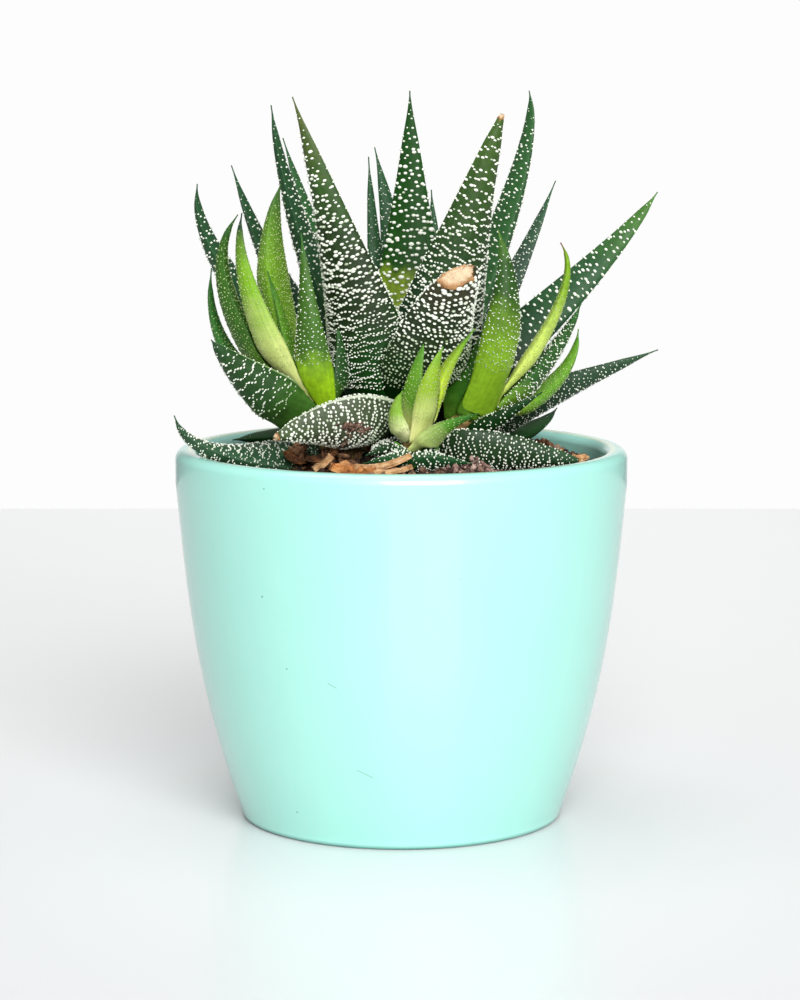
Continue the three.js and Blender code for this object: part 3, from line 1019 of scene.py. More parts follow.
def leaf_table() -> list[Blade]:
    """List the leaves in the order in which they give way to each other.

    Returns:
        The blades of the rosette, then of the left, right and front offsets.
    """
    bold, banded, crowded, open_set = Beading.BOLD, Beading.BANDED, Beading.CROWDED, Beading.OPEN
    lined, fine, dusted, bare = Beading.LINED, Beading.FINE, Beading.DUSTED, Beading.BARE
    # The dark base colours of stub, right_cut, left_cut and spread are painted shade, where these
    # leaves run into the crowded crown.
    stub = LeafSkin("#083F07", "#2E3E26", "#3A3A26", 0.2, 0.45)
    left = LeafSkin("#0D4A10", "#27381E", "#586632", 0.25, tip_start=0.62, turning="#365824")
    right_cut = LeafSkin("#10281A", "#1A3820", "#3F5E24", tip_start=0.45)
    left_cut = LeafSkin("#042A07", "#4C5840", "#4F603C", 0.36, 0.28, margin="#B4BCA8")
    spread = LeafSkin("#10291A", "#26522C", "#4C7E2C", 0.2, tip_start=0.6)
    upright = LeafSkin("#C4E03A", "#184A10", "#225020", 0.28, 0.27)
    blue = LeafSkin("#28542C", "#305E30", "#315E34")
    grey = LeafSkin("#385040", "#3B5442", "#32603E")
    right_low = LeafSkin("#284428", "#2A4830", "#345638")
    left_low = LeafSkin("#2C5230", "#315538", "#2F5838")
    old = LeafSkin("#264E24", "#274324", "#305236")
    rear = LeafSkin("#264E28", "#244E2B", "#2A5834")
    low = LeafSkin("#4E7A24", "#20501E", "#1C4A2E")
    heart = LeafSkin("#8DB42A", "#4C8A2A", "#3F702A")
    wide_inner = LeafSkin("#9CC02A", "#6E9C26", "#487436", tip_start=0.6, streak=0.16)
    bright = LeafSkin("#E8EE98", "#7CAE26", "#1E3C2C", 0.12, 0.4, 0.6, speckle=0.04)
    outer = LeafSkin("#6E9A2A", "#3A681F", "#32602A")
    front = LeafSkin("#AEE022", "#416A22", "#3E702A", 0.18, 0.2)
    waved = LeafSkin("#447228", "#25491E", "#264C28", 0.14, margin="#8FA878")
    far = LeafSkin("#5E9028", "#3A7830", "#2E6A32")
    inner_small = LeafSkin("#86AC30", "#5A9024", "#467E28")
    right_small = LeafSkin("#5F9030", "#264E1F", "#2E6226")
    front_wide = LeafSkin("#8EBC28", "#2E541C", "#56802E", 0.2, 0.4)
    curved = LeafSkin("#DCF074", "#7CA822", "#7A4A34", 0.2, 0.45, 0.88)
    right_outer = LeafSkin("#7FB030", "#2E5C24", "#2C6028")
    outer_rear = LeafSkin("#9AC240", "#6AA42A", "#46842A")
    inner = LeafSkin("#5A8C24", "#2F6212", "#2E6A2E", 0.1)
    darkest = LeafSkin("#3C6A24", "#0F380F", "#1C4620")
    slim = LeafSkin("#DCE48A", "#659B28", "#528E30", 0.14, tip_start=0.6, speckle=0.05)
    front_bright = LeafSkin("#E8EC9C", "#8EB22C", "#5E9A2C", 0.1, 0.4, 0.7, speckle=0.03)
    cream = LeafSkin("#ECF0B8", "#BED838", "#569828", 0.12, tip_start=0.6, speckle=0.04)
    lower = LeafSkin("#DCE890", "#529028", "#2A5E24", 0.2, 0.45, 0.7, speckle=0.05)
    lower_left = LeafSkin("#E6EAB0", "#8CB840", "#6AA034", 0.2, 0.4, speckle=0.05)
    under = LeafSkin("#5E9A2A", "#22502A", "#26502E")
    return [
        Blade("main_front_stub", 69, (7, -19, 93), (15, -36, 106), 15.5, stub, Beading.STUB,
              cut=0.65, roll=10, slant=0.4),
        Blade("main_front_left", 69, (-7.5, -10, 94), (-18.5, -14, 127.5), 17.5, left, bold,
              roll=10),
        Blade("main_front_right_cut", 69, (8.5, -8, 96.5), (18.5, -12, 128.5), 17, right_cut,
              banded, cut=0.93, roll=-30),
        Blade("main_front_left_cut", 68, (-7.5, -17.5, 73.5), (-23.5, -28, 70), 12.5, left_cut,
              Beading.PACKED, cut=0.93, belly=0.6, root_width=0.8, roll=30),
        Blade("main_right_spread", 69, (30.5, 8.5, 93.5), (46, 13, 110.5), 8, spread,
              Beading.SPREAD, roll=55),
        Blade("main_right_low", 66, (23, 9.5, 73.5), (46.5, 14, 82), 10.5, right_low,
              Beading.DOTTED, roll=-55),
        Blade("main_front_right_low", 67, (12, -15, 68), (33.5, -16, 65), 11, old, crowded,
              cut=0.94, belly=0.5, root_width=0.8, roll=-30),
        Blade("main_left_low", 67, (-28, -13.5, 66.5), (-39.5, -9, 72.5), 9, left_low, lined,
              roll=-15),
        Blade("main_back_upright", 69, (1.5, 10.5, 95.5), (1.5, 11, 128.5), 15, upright,
              Beading.UPRIGHT),
        Blade("main_right_tall", 69, (19, 12, 108), (23, 17, 128.5), 7, blue, open_set, roll=5),
        Blade("main_left_tall", 69, (-16.5, 4.5, 102), (-23, 6, 126), 8.5, rear, open_set,
              roll=-5),
        Blade("main_left_tall_rear", 67.5, (-12, 13, 93), (-21.5, 20, 120), 9, blue, open_set),
        Blade("main_left_rear", 69, (-19, 14, 90), (-31, 22, 115), 10, rear, open_set),
        Blade("main_left_spread", 69, (-28.5, 7.5, 94), (-36.5, 11, 112), 10, rear, open_set),
        Blade("main_back_left_wide", 67.5, (0, 24, 89.5), (-5, 36, 118), 10.5, rear, fine),
        Blade("main_back_left_slim", 69, (-4, 15.5, 91.5), (-6, 24, 116.5), 5, rear, fine),
        Blade("main_back_right_slim", 69, (5, 17.5, 88), (5.5, 25, 110.5), 8, rear, open_set),
        Blade("main_right_rear", 67.5, (15.5, 18, 86), (28.5, 29, 112), 9.5, grey, fine, roll=5),
        Blade("main_left_rear_low", 66.5, (-17.5, 7.5, 67.5), (-30.5, 10, 66), 7.5, low, bare,
              belly=0.6),
        Blade("main_right_rear_low", 67, (19.5, 12.5, 67), (28.5, 18, 71), 8, low, bare,
              belly=0.35, root_width=0.8, roll=10),
        Blade("main_front_small", 65.5, (-1, -15, 68.5), (-6, -25, 67.5), 8, old, crowded,
              belly=0.5),
        Blade("main_hidden_back", 67, (-3, 20, 73), (-6, 36, 84), 10, old, open_set),
        Blade("main_hidden_back_left", 67, (-13, 15, 70), (-24, 26, 76), 9, old, open_set),
        Blade("main_hidden_back_right", 67, (9, 18, 72), (18, 33, 80), 10, old, open_set),
        Blade("main_heart", 70, (0.5, 4.5, 81), (1, 3, 92), 6.5, heart, fine),
        Blade("main_heart_left", 70, (-3.5, 1, 79), (-5, 1, 89), 6, heart, fine),
        Blade("main_heart_right", 70, (3.5, 0, 78), (5, -1, 87), 5.5, heart, fine),
        Blade("left_inner_wide", 74, (-21.5, -4.5, 96), (-21, -3, 112.5), 8.5, wide_inner, dusted,
              belly=0.5, roll=35),
        Blade("left_bright", 75, (-25, -18.5, 94), (-27, -18, 108), 7, bright, dusted, roll=5),
        Blade("left_outer", 74, (-29, -13, 93.5), (-28, -12, 107.5), 7.5, outer, dusted, roll=5),
        Blade("left_front", 75, (-15.5, -19, 89), (-17, -17, 104.5), 7.5, front, fine, belly=0.15,
              root_width=0.9, roll=5),
        Blade("left_low", 72, (-26, -19.5, 80.5), (-32, -24, 87), 8.5, waved, Beading.WAVED,
              root_width=1.1, roll=50),
        Blade("left_far", 73.5, (-29.5, -8.5, 83.5), (-33, -6, 98), 5.5, far, dusted),
        Blade("left_inner_small", 75, (-19, -11.5, 85), (-23, -8, 97.5), 4.5, inner_small, dusted),
        Blade("left_right_small", 73.5, (-11, -12.5, 83), (-11, -13, 88), 5.5, right_small, fine,
              roll=-5),
        Blade("right_front_wide", 73, (17.5, -15.5, 91), (16.5, -14, 105), 6.5, front_wide, fine,
              belly=0.4, root_width=1.1, roll=-20),
        Blade("right_curved", 72, (26.5, -9, 91), (27.5, -8, 102.5), 4, curved, dusted, roll=-5),
        Blade("right_outer", 72, (25, -4.5, 82.5), (31.5, -2, 91.5), 7.5, right_outer, lined,
              roll=-10),
        Blade("right_outer_rear", 72, (26.5, 0.5, 77.5), (31.5, 5, 86.5), 5.5, outer_rear, dusted),
        Blade("right_inner", 72, (11, -10.5, 80), (15, -2, 91.5), 6.5, inner, fine, belly=0.4,
              root_width=1.1),
        Blade("right_low", 71, (16, -16, 73), (24, -18, 77.5), 6.5, darkest, fine),
        Blade("front_upright", 70, (2, -22, 79), (4, -20, 86.5), 3.4, slim, dusted, belly=0.45,
              root_width=1.1),
        Blade("front_bright", 70, (4.5, -25.5, 79.5), (7, -26, 86), 4.2, front_bright, dusted,
              belly=0.45, root_width=1.2),
        Blade("front_right", 70, (5, -22, 78), (12.5, -19, 88.5), 5.5, cream, dusted, belly=0.5,
              root_width=0.9),
        Blade("front_low_right", 69.5, (6.5, -26, 72.5), (13, -28, 75), 6, lower, dusted,
              root_width=1.2),
        Blade("front_low_left", 70, (-0.8, -23.5, 74), (0.2, -25, 78.5), 3.6, lower_left, dusted,
              root_width=1.2),
        Blade("front_under_right", 67.5, (5, -26, 67.5), (12, -28, 66.5), 6.5, under, crowded,
              belly=0.4, root_width=1.2),
        Blade("front_under_left", 67.5, (-0.5, -26, 67.5), (-6.5, -27.5, 66.5), 6, under, crowded,
              belly=0.4, root_width=1.2),
    ]


@dataclass
class Foliage:
    """All the leaves, with their tubercles, the scars of the cut ones and a smudge of peat."""

    blades: list[Blade] = field(default_factory=leaf_table)
    first_seed: int = 100
    scar_depth: float = 0.9
    smudged: str = "main_front_left_cut"
    smudge_crumbs: int = 130
    smudge_seed: int = 5

    def build(self) -> None:
        """Build and dress every leaf."""
        blanks = {size: take_mesh(ringed_tube(*size.value[:2])) for size in Fineness}
        domes = {size: bead_template(size.value[2]) for size in Fineness}
        white = TubercleFinish("chalky_tubercle_white", "#E6EADC", "#8EA47A").material()
        young = TubercleFinish("waxy_tubercle_young", "#ABBE7E", "#8BA052").material()
        for number, blade in enumerate(self.blades):
            size, earlier = blade.fineness(), self.blades[:number]
            skin = blade.skin.material(blade.name)
            mesh = blade.build(blanks[size], earlier)
            add_piece(f"{blade.name}_blade", mesh, skin, node=f"{blade.name}_leaf")
            beads = blade.beads(domes[size], earlier, self.first_seed + number)
            chalk = young if blade.beading.value.young else white
            add_piece(f"{blade.name}_tubercles", beads, chalk, "tubercle")
            if blade.cut < 1:
                self.scar(blade, number)
            if blade.name == self.smudged:
                self.smudge(blade, domes[Fineness.SMALL])

    def scar(self, blade: Blade, seed: int) -> None:
        """Cap a cut leaf with dry callus.

        Args:
            blade: The cut leaf.
            seed: Seed of the cap's lumps.
        """
        mesh = take_mesh(start_piece(
            bpy.ops.mesh.primitive_uv_sphere_add, segments=36, ring_count=18, radius=1
        ))
        form = read_points(mesh)
        end = np.array([blade.cut])
        rib, _ = blade.midrib(end)
        across, face, along = blade.axes(end)
        half, outer, inner = blade.half_size(end)
        lumps = np.array([
            noise.noise(Vector(p) * 1.7 + Vector((seed * 3.1, 0, 0)))
            + 0.7 * noise.noise(Vector(p) * 4.3 + Vector((0, seed * 2.3, 0)))
            for p in form
        ])
        grown = 0.92 + 0.26 * lumps
        depth = np.where(form[:, 1] > 0, inner + 0.15, outer) * form[:, 1] * grown
        sideways = form[:, 0] * grown * half
        heaped = np.clip(0.8 + 0.9 * lumps, 0.3, 1.5)
        ahead = form[:, 2] * self.scar_depth * heaped + blade.slant * sideways
        parts = ((across, sideways), (face, depth), (along, ahead))
        write_points(mesh, rib + sum(axis * far[:, None] for axis, far in parts))
        set_attribute(mesh, "tone", np.clip(1.25 - np.hypot(form[:, 0], form[:, 1]) ** 3, 0, 1))
        # Callus over a cut: dry, corky and cracked, pale tan with browner edges.
        cork = EarthFinish(
            f"dry_callus_{blade.name}", "#5E3C22", "#B08458", "#DCC4A2", 0.9, relief=1.0
        )
        add_piece(f"{blade.name}_scar", mesh, cork.material(), "dry_leaf")

    def smudge(self, blade: Blade, crumb: Template) -> None:
        """Stick a smudge of damp peat to the front of a leaf, with a trail that runs down from it.

        Args:
            blade: The leaf.
            crumb: Shape of one crumb.
        """
        rng = np.random.default_rng(self.smudge_seed)
        count = self.smudge_crumbs
        trail = rng.random(count) < 0.16
        share = rng.normal(0, 1, count) * np.where(trail, 0.01, 0.028) + np.where(trail, 0.66, 0.635)
        angle = np.where(trail, rng.uniform(4.3, 5.1, count), 5.2) + rng.normal(0, 0.07, count)
        places = blade.surface(share, angle)
        ribs, _ = blade.midrib(share)
        frames = random_frames(rng, count)
        frames[:, 2] = unit(places - ribs)
        frames *= (rng.uniform(0.22, 0.5, (count, 3)) * (1.0, 1.0, 0.9))[:, :, None]
        same, tones = np.zeros(count, dtype=int), rng.uniform(0, 1, count)
        mesh = scattered("peat_smudge", [crumb], places, frames, same, tones)
        # Damp peat rubbed into the tubercles: dull reddish brown crumbs and stain.
        peat = EarthFinish("smeared_peat", "#3A2820", "#745848", "#AE9280", 0.7, relief=0.8)
        add_piece("peat_smudge", mesh, peat.material(), "soil")


@dataclass
class Stems:
    """Short stems of the four plants, wrapped in the dry bases of old leaves."""

    sides: int = 28
    rings: int = 24

    def build(self) -> None:
        """Build each stem in place of its solid."""
        # Dry leaf bases wrapped round a stem: papery rings, straw to brown.
        papery = EarthFinish(
            "papery_leaf_bases", "#5A4228", "#8C7242", "#B9AE6C", 1.8, (1.0, 1.0, 2.5), 0.6
        ).material(by_piece=False)
        for name, crown in CROWNS.items():
            mesh = take_mesh(ringed_tube(self.sides, self.rings))
            write_points(mesh, self.shape(crown, read_points(mesh)))
            add_piece(f"{name}_sheathed_stem", mesh, papery, node=f"{name}_stem")

    @staticmethod
    def shape(crown: Crown, form: Array) -> Array:
        """Lay a unit cylinder along a stem, stepped by its old leaf bases.

        Args:
            crown: The stem.
            form: Points of the cylinder.

        Returns:
            Points of the stem.
        """
        foot, head = np.array(crown.foot), np.array(crown.head)
        rise = unit(head - foot)
        beside = unit(np.cross(rise, (0.0, 1.0, 0.0)))
        x, y, height = form.T
        angle = np.arctan2(y, x)
        steps = 0.08 * ((height * 5 + angle / np.pi) % 1) + 0.04 * np.sin(3 * angle + 9 * height)
        rim = crown.radius * (0.94 + steps) * (1 - 0.3 * smooth(0.9, 1.0, height))
        parts = ((head - foot, height), (beside, x * rim), (np.cross(rise, beside), y * rim))
        return foot + sum(axis * far[:, None] for axis, far in parts)


# Pot and soil


def turned(name: str, profile: Outline, steps: int) -> bpy.types.Mesh:
    """Spin a profile about the pot's axis.

    Args:
        name: Name of the mesh.
        profile: Radii and heights from the axis back to the axis.
        steps: Number of steps in the full turn.

    Returns:
        A closed mesh in metres, with its faces pointing outwards.
    """
    wire = bpy.data.meshes.new(name)
    corners = [(radius * MM, 0, height * MM) for radius, height in profile]
    wire.from_pydata(corners, [(i, i + 1) for i in range(len(corners) - 1)], [])
    bpy.ops.object.select_all(action="DESELECT")
    body = bpy.data.objects.new(name, wire)
    bpy.context.scene.collection.objects.link(body)
    bpy.context.view_layer.objects.active = body
    body.select_set(True)
    full_turn = {"steps": steps, "angle": 2 * math.pi, "center": (0, 0, 0), "axis": (0, 0, 1)}
    edit_all(
        partial(bpy.ops.mesh.spin, **full_turn),
        partial(bpy.ops.mesh.remove_doubles, threshold=0.002 * MM),
        partial(bpy.ops.mesh.normals_make_consistent, inside=False),
    )
    return take_mesh(body)


def arc(radius: float, height: float, size: float, start: float, end: float) -> Outline:
    """Radii and heights on an arc round a centre, between two angles in degrees."""
    angles = np.radians(np.linspace(start, end, 11))
    return [(radius + size * math.cos(a), height + size * math.sin(a)) for a in angles]


@dataclass
class Pot:
    """Cover pot of glazed stoneware with a bellied wall and a rounded rim."""

    height: float = 66
    rim_radius: float = 40
    foot_radius: float = 27.9
    foot_edge: float = 0.7
    wall: float = 4
    floor: float = 5
    lip_height: float = 6
    lip_round: float = 1.8
    inner_round: float = 1.7
    foot_lean: float = 0.36
    lip_lean: float = 0.09
    swell: float = 22
    steps: int = 180
    glaze: GlazeFinish = field(default_factory=GlazeFinish)

    def wall_points(self) -> Outline:
        """Draw the outer wall from the foot's round to the lip.

        Returns:
            Points of one Bezier curve.
        """
        low = np.array([self.foot_radius + self.foot_edge, self.foot_edge])
        top = np.array([self.rim_radius, self.height - self.lip_height])
        one = low + (self.foot_lean * self.swell, self.swell)
        two = top - (self.lip_lean * self.swell, self.swell)
        share = np.linspace(0, 1, 45)[:, None]
        rest = 1 - share
        curve = rest**3 * low + 3 * rest**2 * share * one + 3 * rest * share**2 * two + share**3 * top
        return [tuple(map(float, point)) for point in curve]

    def cavity(self, clearance: float) -> Outline:
        """Draw the cavity, from its floor upwards.

        Args:
            clearance: How far it is drawn in.

        Returns:
            Radii and heights.
        """
        low, high = self.floor + 4, self.height - 4
        reach = self.wall + clearance
        inside = [(radius - reach, height) for radius, height in self.wall_points()
                  if low < height < high]
        floor = self.floor + clearance
        return [(0, floor), (inside[0][0] - 4, floor), *inside]

    def build(self) -> None:
        """Build and glaze the pot."""
        foot = arc(self.foot_radius, self.foot_edge, self.foot_edge, -90, 0)
        crest = self.rim_radius - self.lip_round
        lip = arc(crest, self.height - self.lip_round, self.lip_round, 0, 90)
        inner_crest = self.rim_radius - self.wall + self.inner_round
        inner = arc(inner_crest, self.height - self.inner_round, self.inner_round, 90, 180)
        profile = [(0, 0), *foot, *self.wall_points()[1:], *lip, *inner, *self.cavity(0)[::-1]]
        mesh = turned("glazed_pot", profile, self.steps)
        add_piece("glazed_pot", mesh, self.glaze.material(), node="pot")


def soil_height(x: float, y: float) -> float:
    """Find the height of the lumpy soil surface, as the solid model has it.

    Args:
        x: Sideways place.
        y: Place from front to back.

    Returns:
        The height there.
    """
    lumps = math.sin(0.9 * x + 1.3) * math.sin(0.8 * y + 0.4) + 0.5 * math.sin(1.7 * x - 0.6 * y)
    fall = min(max((math.hypot(x, y) - 10) / 24, 0), 1)
    return 62 + 2.2 * (1 - fall * fall * (3 - 2 * fall)) + 0.42 * lumps


@dataclass(frozen=True)
class Heap:
    """A pile of crumbs or scraps: an ellipse round its middle, bent round the pot if bowed."""

    name: str
    slot: str
    middle: Point
    spread: Point
    count: int
    grain: float
    finish: EarthFinish
    stretch: Point = (1.0, 1.0, 1.0)
    bow: float = 0.0


# Peat pushed up against the wall, near black with lighter specks.
BANK_PEAT = EarthFinish("banked_peat", "#150E0A", "#4A3527", "#9A7C68", 0.8, relief=0.8)
# Clay and coir dust: pale, pinkish and dry.
PINK_DUST = EarthFinish("pinkish_coir_dust", "#4A3430", "#94756A", "#CBB0A2", 0.7, relief=0.8)
# Rotted leaf bases: torn, reddish brown and soft.
ROTTED = EarthFinish("rotted_leaf_scraps", "#24120B", "#5C3622", "#A07A58", 0.8, relief=0.9)
# Fresh bark fines: orange brown.
BARK_FINES = EarthFinish("orange_bark_fines", "#5A3018", "#A86C3C", "#DDAE7C", 0.8, relief=0.8)
# Crumbs of peat and coir: matt, from near black to a dusty pinkish brown.
CRUMBS = EarthFinish("peat_and_coir_crumbs", "#1A120D", "#5A4334", "#A98C78", 0.9, relief=0.8)
# Composted bark: fibrous, tan to orange brown.
CHIPS = EarthFinish("composted_bark_chips", "#4A2D1A", "#9A6536", "#C99A66", 0.8, relief=0.6)
# Dead root hairs: thin, papery and pale.
FIBRES = EarthFinish("dead_root_fibres", "#8A6B4A", "#C7A67C", "#E6D2AE", 0.6, relief=0.2)
# Peat-based mix: nearly black, dull, broken by lighter fibres.
POTTING_MIX = EarthFinish("potting_mix_peat", "#120C08", "#2A1D14", "#4A3626", 1.6, relief=0.9)

HEAPS = (
    Heap("front_bank", "soil", (0, -31, 63), (26, 4.2, 3.2), 1100, 0.42, BANK_PEAT, bow=31),
    Heap("pinkish_heap", "soil", (12, -29.5, 64.3), (6, 3, 3.2), 210, 0.38, PINK_DUST, bow=31),
    Heap("rotted_heap_left", "dry_leaf", (-17.5, -13, 63.5), (3, 3, 5.5), 150, 0.5, ROTTED,
         (1.8, 1, 0.4)),
    Heap("rotted_heap_middle", "dry_leaf", (-11.5, -18.5, 63.5), (4, 3, 5.5), 200, 0.5, ROTTED,
         (1.8, 1, 0.4)),
    Heap("reddish_heap_rear", "bark", (25, 22, 62.5), (4.5, 3, 2.6), 90, 0.45, ROTTED,
         (1.5, 1, 0.6)),
    Heap("bark_fines_left", "bark", (-9, -29, 64), (5, 2.6, 2.2), 60, 0.7, BARK_FINES,
         (1.6, 1, 0.35), 31),
)


@dataclass
class SoilBed:
    """Potting mix that fills the pot, with crumbs, heaps, chips and fibres on top."""

    pot: Pot
    blades: list[Blade]
    heaps: tuple[Heap, ...] = HEAPS
    level: float = 62
    rings: int = 56
    steps: int = 150
    reach: float = 34.5
    heap_reach: float = 35.2
    leaf_room: float = 0.7
    crumbs: int = 2600
    chips: int = 70
    fibres: int = 46
    rng: np.random.Generator = field(default_factory=partial(np.random.default_rng, 7))

    def build(self) -> None:
        """Build the bed and all that lies loose on it."""
        self.bed()
        self.scatter_crumbs(self.lump_templates(6, 4))
        lumps = self.lump_templates(7, 5)
        for heap in self.heaps:
            self.pile_up(lumps, heap)
        self.scatter_chips()
        self.scatter_fibres()

    def bed(self) -> None:
        """Build the body of soil."""
        edge = self.pot.rim_radius - self.pot.wall - GAP
        top = [(edge * (1 - i / self.rings), self.level) for i in range(self.rings + 1)]
        mesh = turned("potting_mix", [*self.pot.cavity(GAP), *top], self.steps)
        points = read_points(mesh) / MM
        for i in np.flatnonzero(np.abs(points[:, 2] - self.level) < 1e-3):
            x, y = points[i, :2]
            place = Vector((x, y, 0))
            fine = noise.noise(place * 0.8) * 0.5 + noise.noise(place * 1.9) * 0.35
            hold = min(1.0, (edge - math.hypot(x, y)) / 1.5)
            points[i, 2] = soil_height(x, y) + fine * max(hold, 0)
        write_points(mesh, points)
        add_piece("potting_mix", mesh, POTTING_MIX.material(by_piece=False), node="soil")

    def spots(self, count: int, lift: float) -> Array:
        """Choose free places on the soil.

        Args:
            count: How many to try.
            lift: Height of their middle above the surface.

        Returns:
            The places that no leaf takes up.
        """
        radius = self.reach * np.sqrt(self.rng.uniform(0, 1, count))
        angle = self.rng.uniform(0, 2 * np.pi, count)
        x, y = radius * np.cos(angle), radius * np.sin(angle)
        z = np.array([soil_height(a, b) for a, b in zip(x, y)])
        z = z + lift * self.rng.uniform(0.2, 1, count)
        return self.clear_of_leaves(np.stack([x, y, z], axis=1), self.leaf_room)

    def clear_of_leaves(self, places: Array, room: float) -> Array:
        """Leave out places in leaves.

        Args:
            places: The places.
            room: Free room round a leaf.

        Returns:
            Those that no leaf takes up.
        """
        free = np.ones(len(places), dtype=bool)
        for blade in self.blades:
            free &= ~blade.holds(places, room)
        return places[free]

    @staticmethod
    def lump_templates(segments: int, rings: int) -> list[Template]:
        """Model a few small lumps to copy.

        Args:
            segments: Their sides.
            rings: Their rings.

        Returns:
            Six lumps of about radius one.
        """
        templates = []
        for number in range(6):
            ball = start_piece(
                bpy.ops.mesh.primitive_uv_sphere_add, segments=segments, ring_count=rings, radius=1
            )
            for vertex in ball.data.vertices:
                lump = noise.noise(vertex.co * 1.6 + Vector((number * 5.3, 0, 0)))
                lump += 0.5 * noise.noise(vertex.co * 3.7 + Vector((0, number * 2.9, 0)))
                vertex.co *= 1 + 0.55 * lump
            templates.append(template_of(ball))
        return templates

    def scatter_crumbs(self, lumps: list[Template]) -> None:
        """Scatter crumbs of peat and coir.

        Args:
            lumps: Their shapes.
        """
        rng, places = self.rng, self.spots(self.crumbs, 1.1)
        count = len(places)
        size = np.clip(rng.lognormal(-0.75, 0.45, count), 0.2, 1.4)[:, None]
        frames = random_frames(rng, count)
        frames *= (size * rng.uniform(0.6, 1.2, (count, 3)))[:, :, None]
        pick, tones = rng.integers(0, len(lumps), count), rng.beta(1.4, 2.6, count)
        mesh = scattered("soil_crumbs", lumps, places, frames, pick, tones)
        add_piece("soil_crumbs", mesh, CRUMBS.material(), "soil")

    def pile_up(self, lumps: list[Template], heap: Heap) -> None:
        """Pile crumbs or torn scraps on one spot.

        Args:
            lumps: Their shapes.
            heap: Where and of what.
        """
        rng = self.rng
        radius = np.sqrt(rng.uniform(0, 1, heap.count))
        angle = rng.uniform(0, 2 * np.pi, heap.count)
        level = rng.uniform(0, 1, heap.count) * (1 - radius**2)
        x = heap.middle[0] + heap.spread[0] * radius * np.cos(angle)
        y = heap.middle[1] + heap.spread[1] * radius * np.sin(angle)
        if heap.bow:
            x, y = -y * np.sin(x / heap.bow), y * np.cos(x / heap.bow)
        places = np.stack([x, y, heap.middle[2] + heap.spread[2] * level], axis=1)
        places = self.clear_of_leaves(places[np.hypot(x, y) < self.heap_reach], GAP)
        count = len(places)
        size = heap.grain * np.clip(rng.lognormal(0, 0.4, count), 0.4, 2)
        shape = rng.uniform(0.6, 1.1, (count, 3)) * heap.stretch
        frames = random_frames(rng, count) * (size[:, None] * shape)[:, :, None]
        pick, tones = rng.integers(0, len(lumps), count), rng.beta(2, 2, count)
        mesh = scattered(heap.name, lumps, places, frames, pick, tones)
        add_piece(heap.name, mesh, heap.finish.material(), heap.slot)

    def scatter_chips(self) -> None:
        """Scatter small flat chips of bark."""
        templates = []
        for number in range(5):
            chip = start_piece(bpy.ops.mesh.primitive_cube_add, size=2)
            edit_all(partial(bpy.ops.mesh.subdivide, number_cuts=2))
            for vertex in chip.data.vertices:
                x, y, z = vertex.co
                shift = noise.noise(vertex.co * 1.3 + Vector((number * 4.1, 1.7, 0)))
                narrow = 1 - 0.35 * abs(x) + 0.25 * shift
                bend = z * (0.8 + 0.5 * shift) + 0.5 * x * x
                vertex.co = (x * (1 + 0.2 * shift), y * narrow, bend)
            templates.append(template_of(chip))
        rng, places = self.rng, self.spots(self.chips, 1.2)
        count = len(places)
        turns = rng.uniform(0, 2 * np.pi, count)
        tilts = rng.normal(0, 0.25, (count, 2))
        size = rng.uniform(0.9, 2.3, count)
        ahead = unit(np.stack([np.cos(turns), np.sin(turns), tilts[:, 0]], axis=1))
        beside = unit(np.stack([-np.sin(turns), np.cos(turns), tilts[:, 1]], axis=1))
        scale = np.stack([size, size * rng.uniform(0.35, 0.6, count), size * 0.16], axis=1)
        frames = np.stack([ahead, beside, np.cross(ahead, beside)], axis=1) * scale[:, :, None]
        pick, tones = rng.integers(0, len(templates), count), rng.uniform(0, 1, count)
        mesh = scattered("soil_chips", templates, places, frames, pick, tones)
        add_piece("soil_chips", mesh, CHIPS.material(), "bark")

    def scatter_fibres(self) -> None:
        """Lay thin pale root fibres over the soil."""
        tube = ringed_tube(5, 10, low=-1, ends="NGON")
        for vertex in tube.data.vertices:
            x, y, z = vertex.co
            bow = 0.25 * math.sin(1.7 * z + 0.4) + 0.1 * math.sin(4.1 * z)
            vertex.co = (x * 0.03 + bow, y * 0.03 + 0.18 * (1 - z * z), z)
        template = template_of(tube)
        rng, places = self.rng, self.spots(self.fibres, 0.8)
        count = len(places)
        turns = rng.uniform(0, 2 * np.pi, count)
        ahead = np.stack([np.cos(turns), np.sin(turns), rng.normal(0, 0.12, count)], axis=1)
        beside = np.stack([-np.sin(turns), np.cos(turns), np.zeros(count)], axis=1)
        up = np.tile((0.0, 0.0, 1.0), (count, 1))
        frames = np.stack([beside, up, unit(ahead)], axis=1)
        frames *= rng.uniform(2, 5, count)[:, None, None]
        same, tones = np.zeros(count, dtype=int), rng.uniform(0, 1, count)
        mesh = scattered("root_fibres", [template], places, frames, same, tones)
        add_piece("root_fibres", mesh, FIBRES.material(), "dry_leaf")


# Litter on the soil


@dataclass(frozen=True)
class Bit:
    """A loose flat bit on the soil, bent along its length."""

    name: str
    size: Point
    at: Point
    turn: float
    tilt: float
    curl: float
    finish: EarthFinish
    node: str = ""


# Bark: layered and fibrous, with pale broken edges.
TAN_BARK = EarthFinish("tan_bark_strip", "#7A5434", "#BE9264", "#E6C8A0", 1.1, (1, 3, 1), 0.7)
ORANGE_BARK = EarthFinish("orange_bark_chip", "#6A3A1C", "#B4733C", "#D9A26A", 1.2, (1, 2, 1), 0.7)
# A withered leaf: papery and wrinkled.
DRY_LEAF = EarthFinish("withered_leaf_paper", "#6E4326", "#B98A5C", "#E3C49A", 1.3, (1, 2, 1), 0.6)
BROWN_LEAF = EarthFinish("rotted_leaf_brown", "#2C1A10", "#6A4224", "#A87444", 1.0, (1, 2, 1), 0.8)

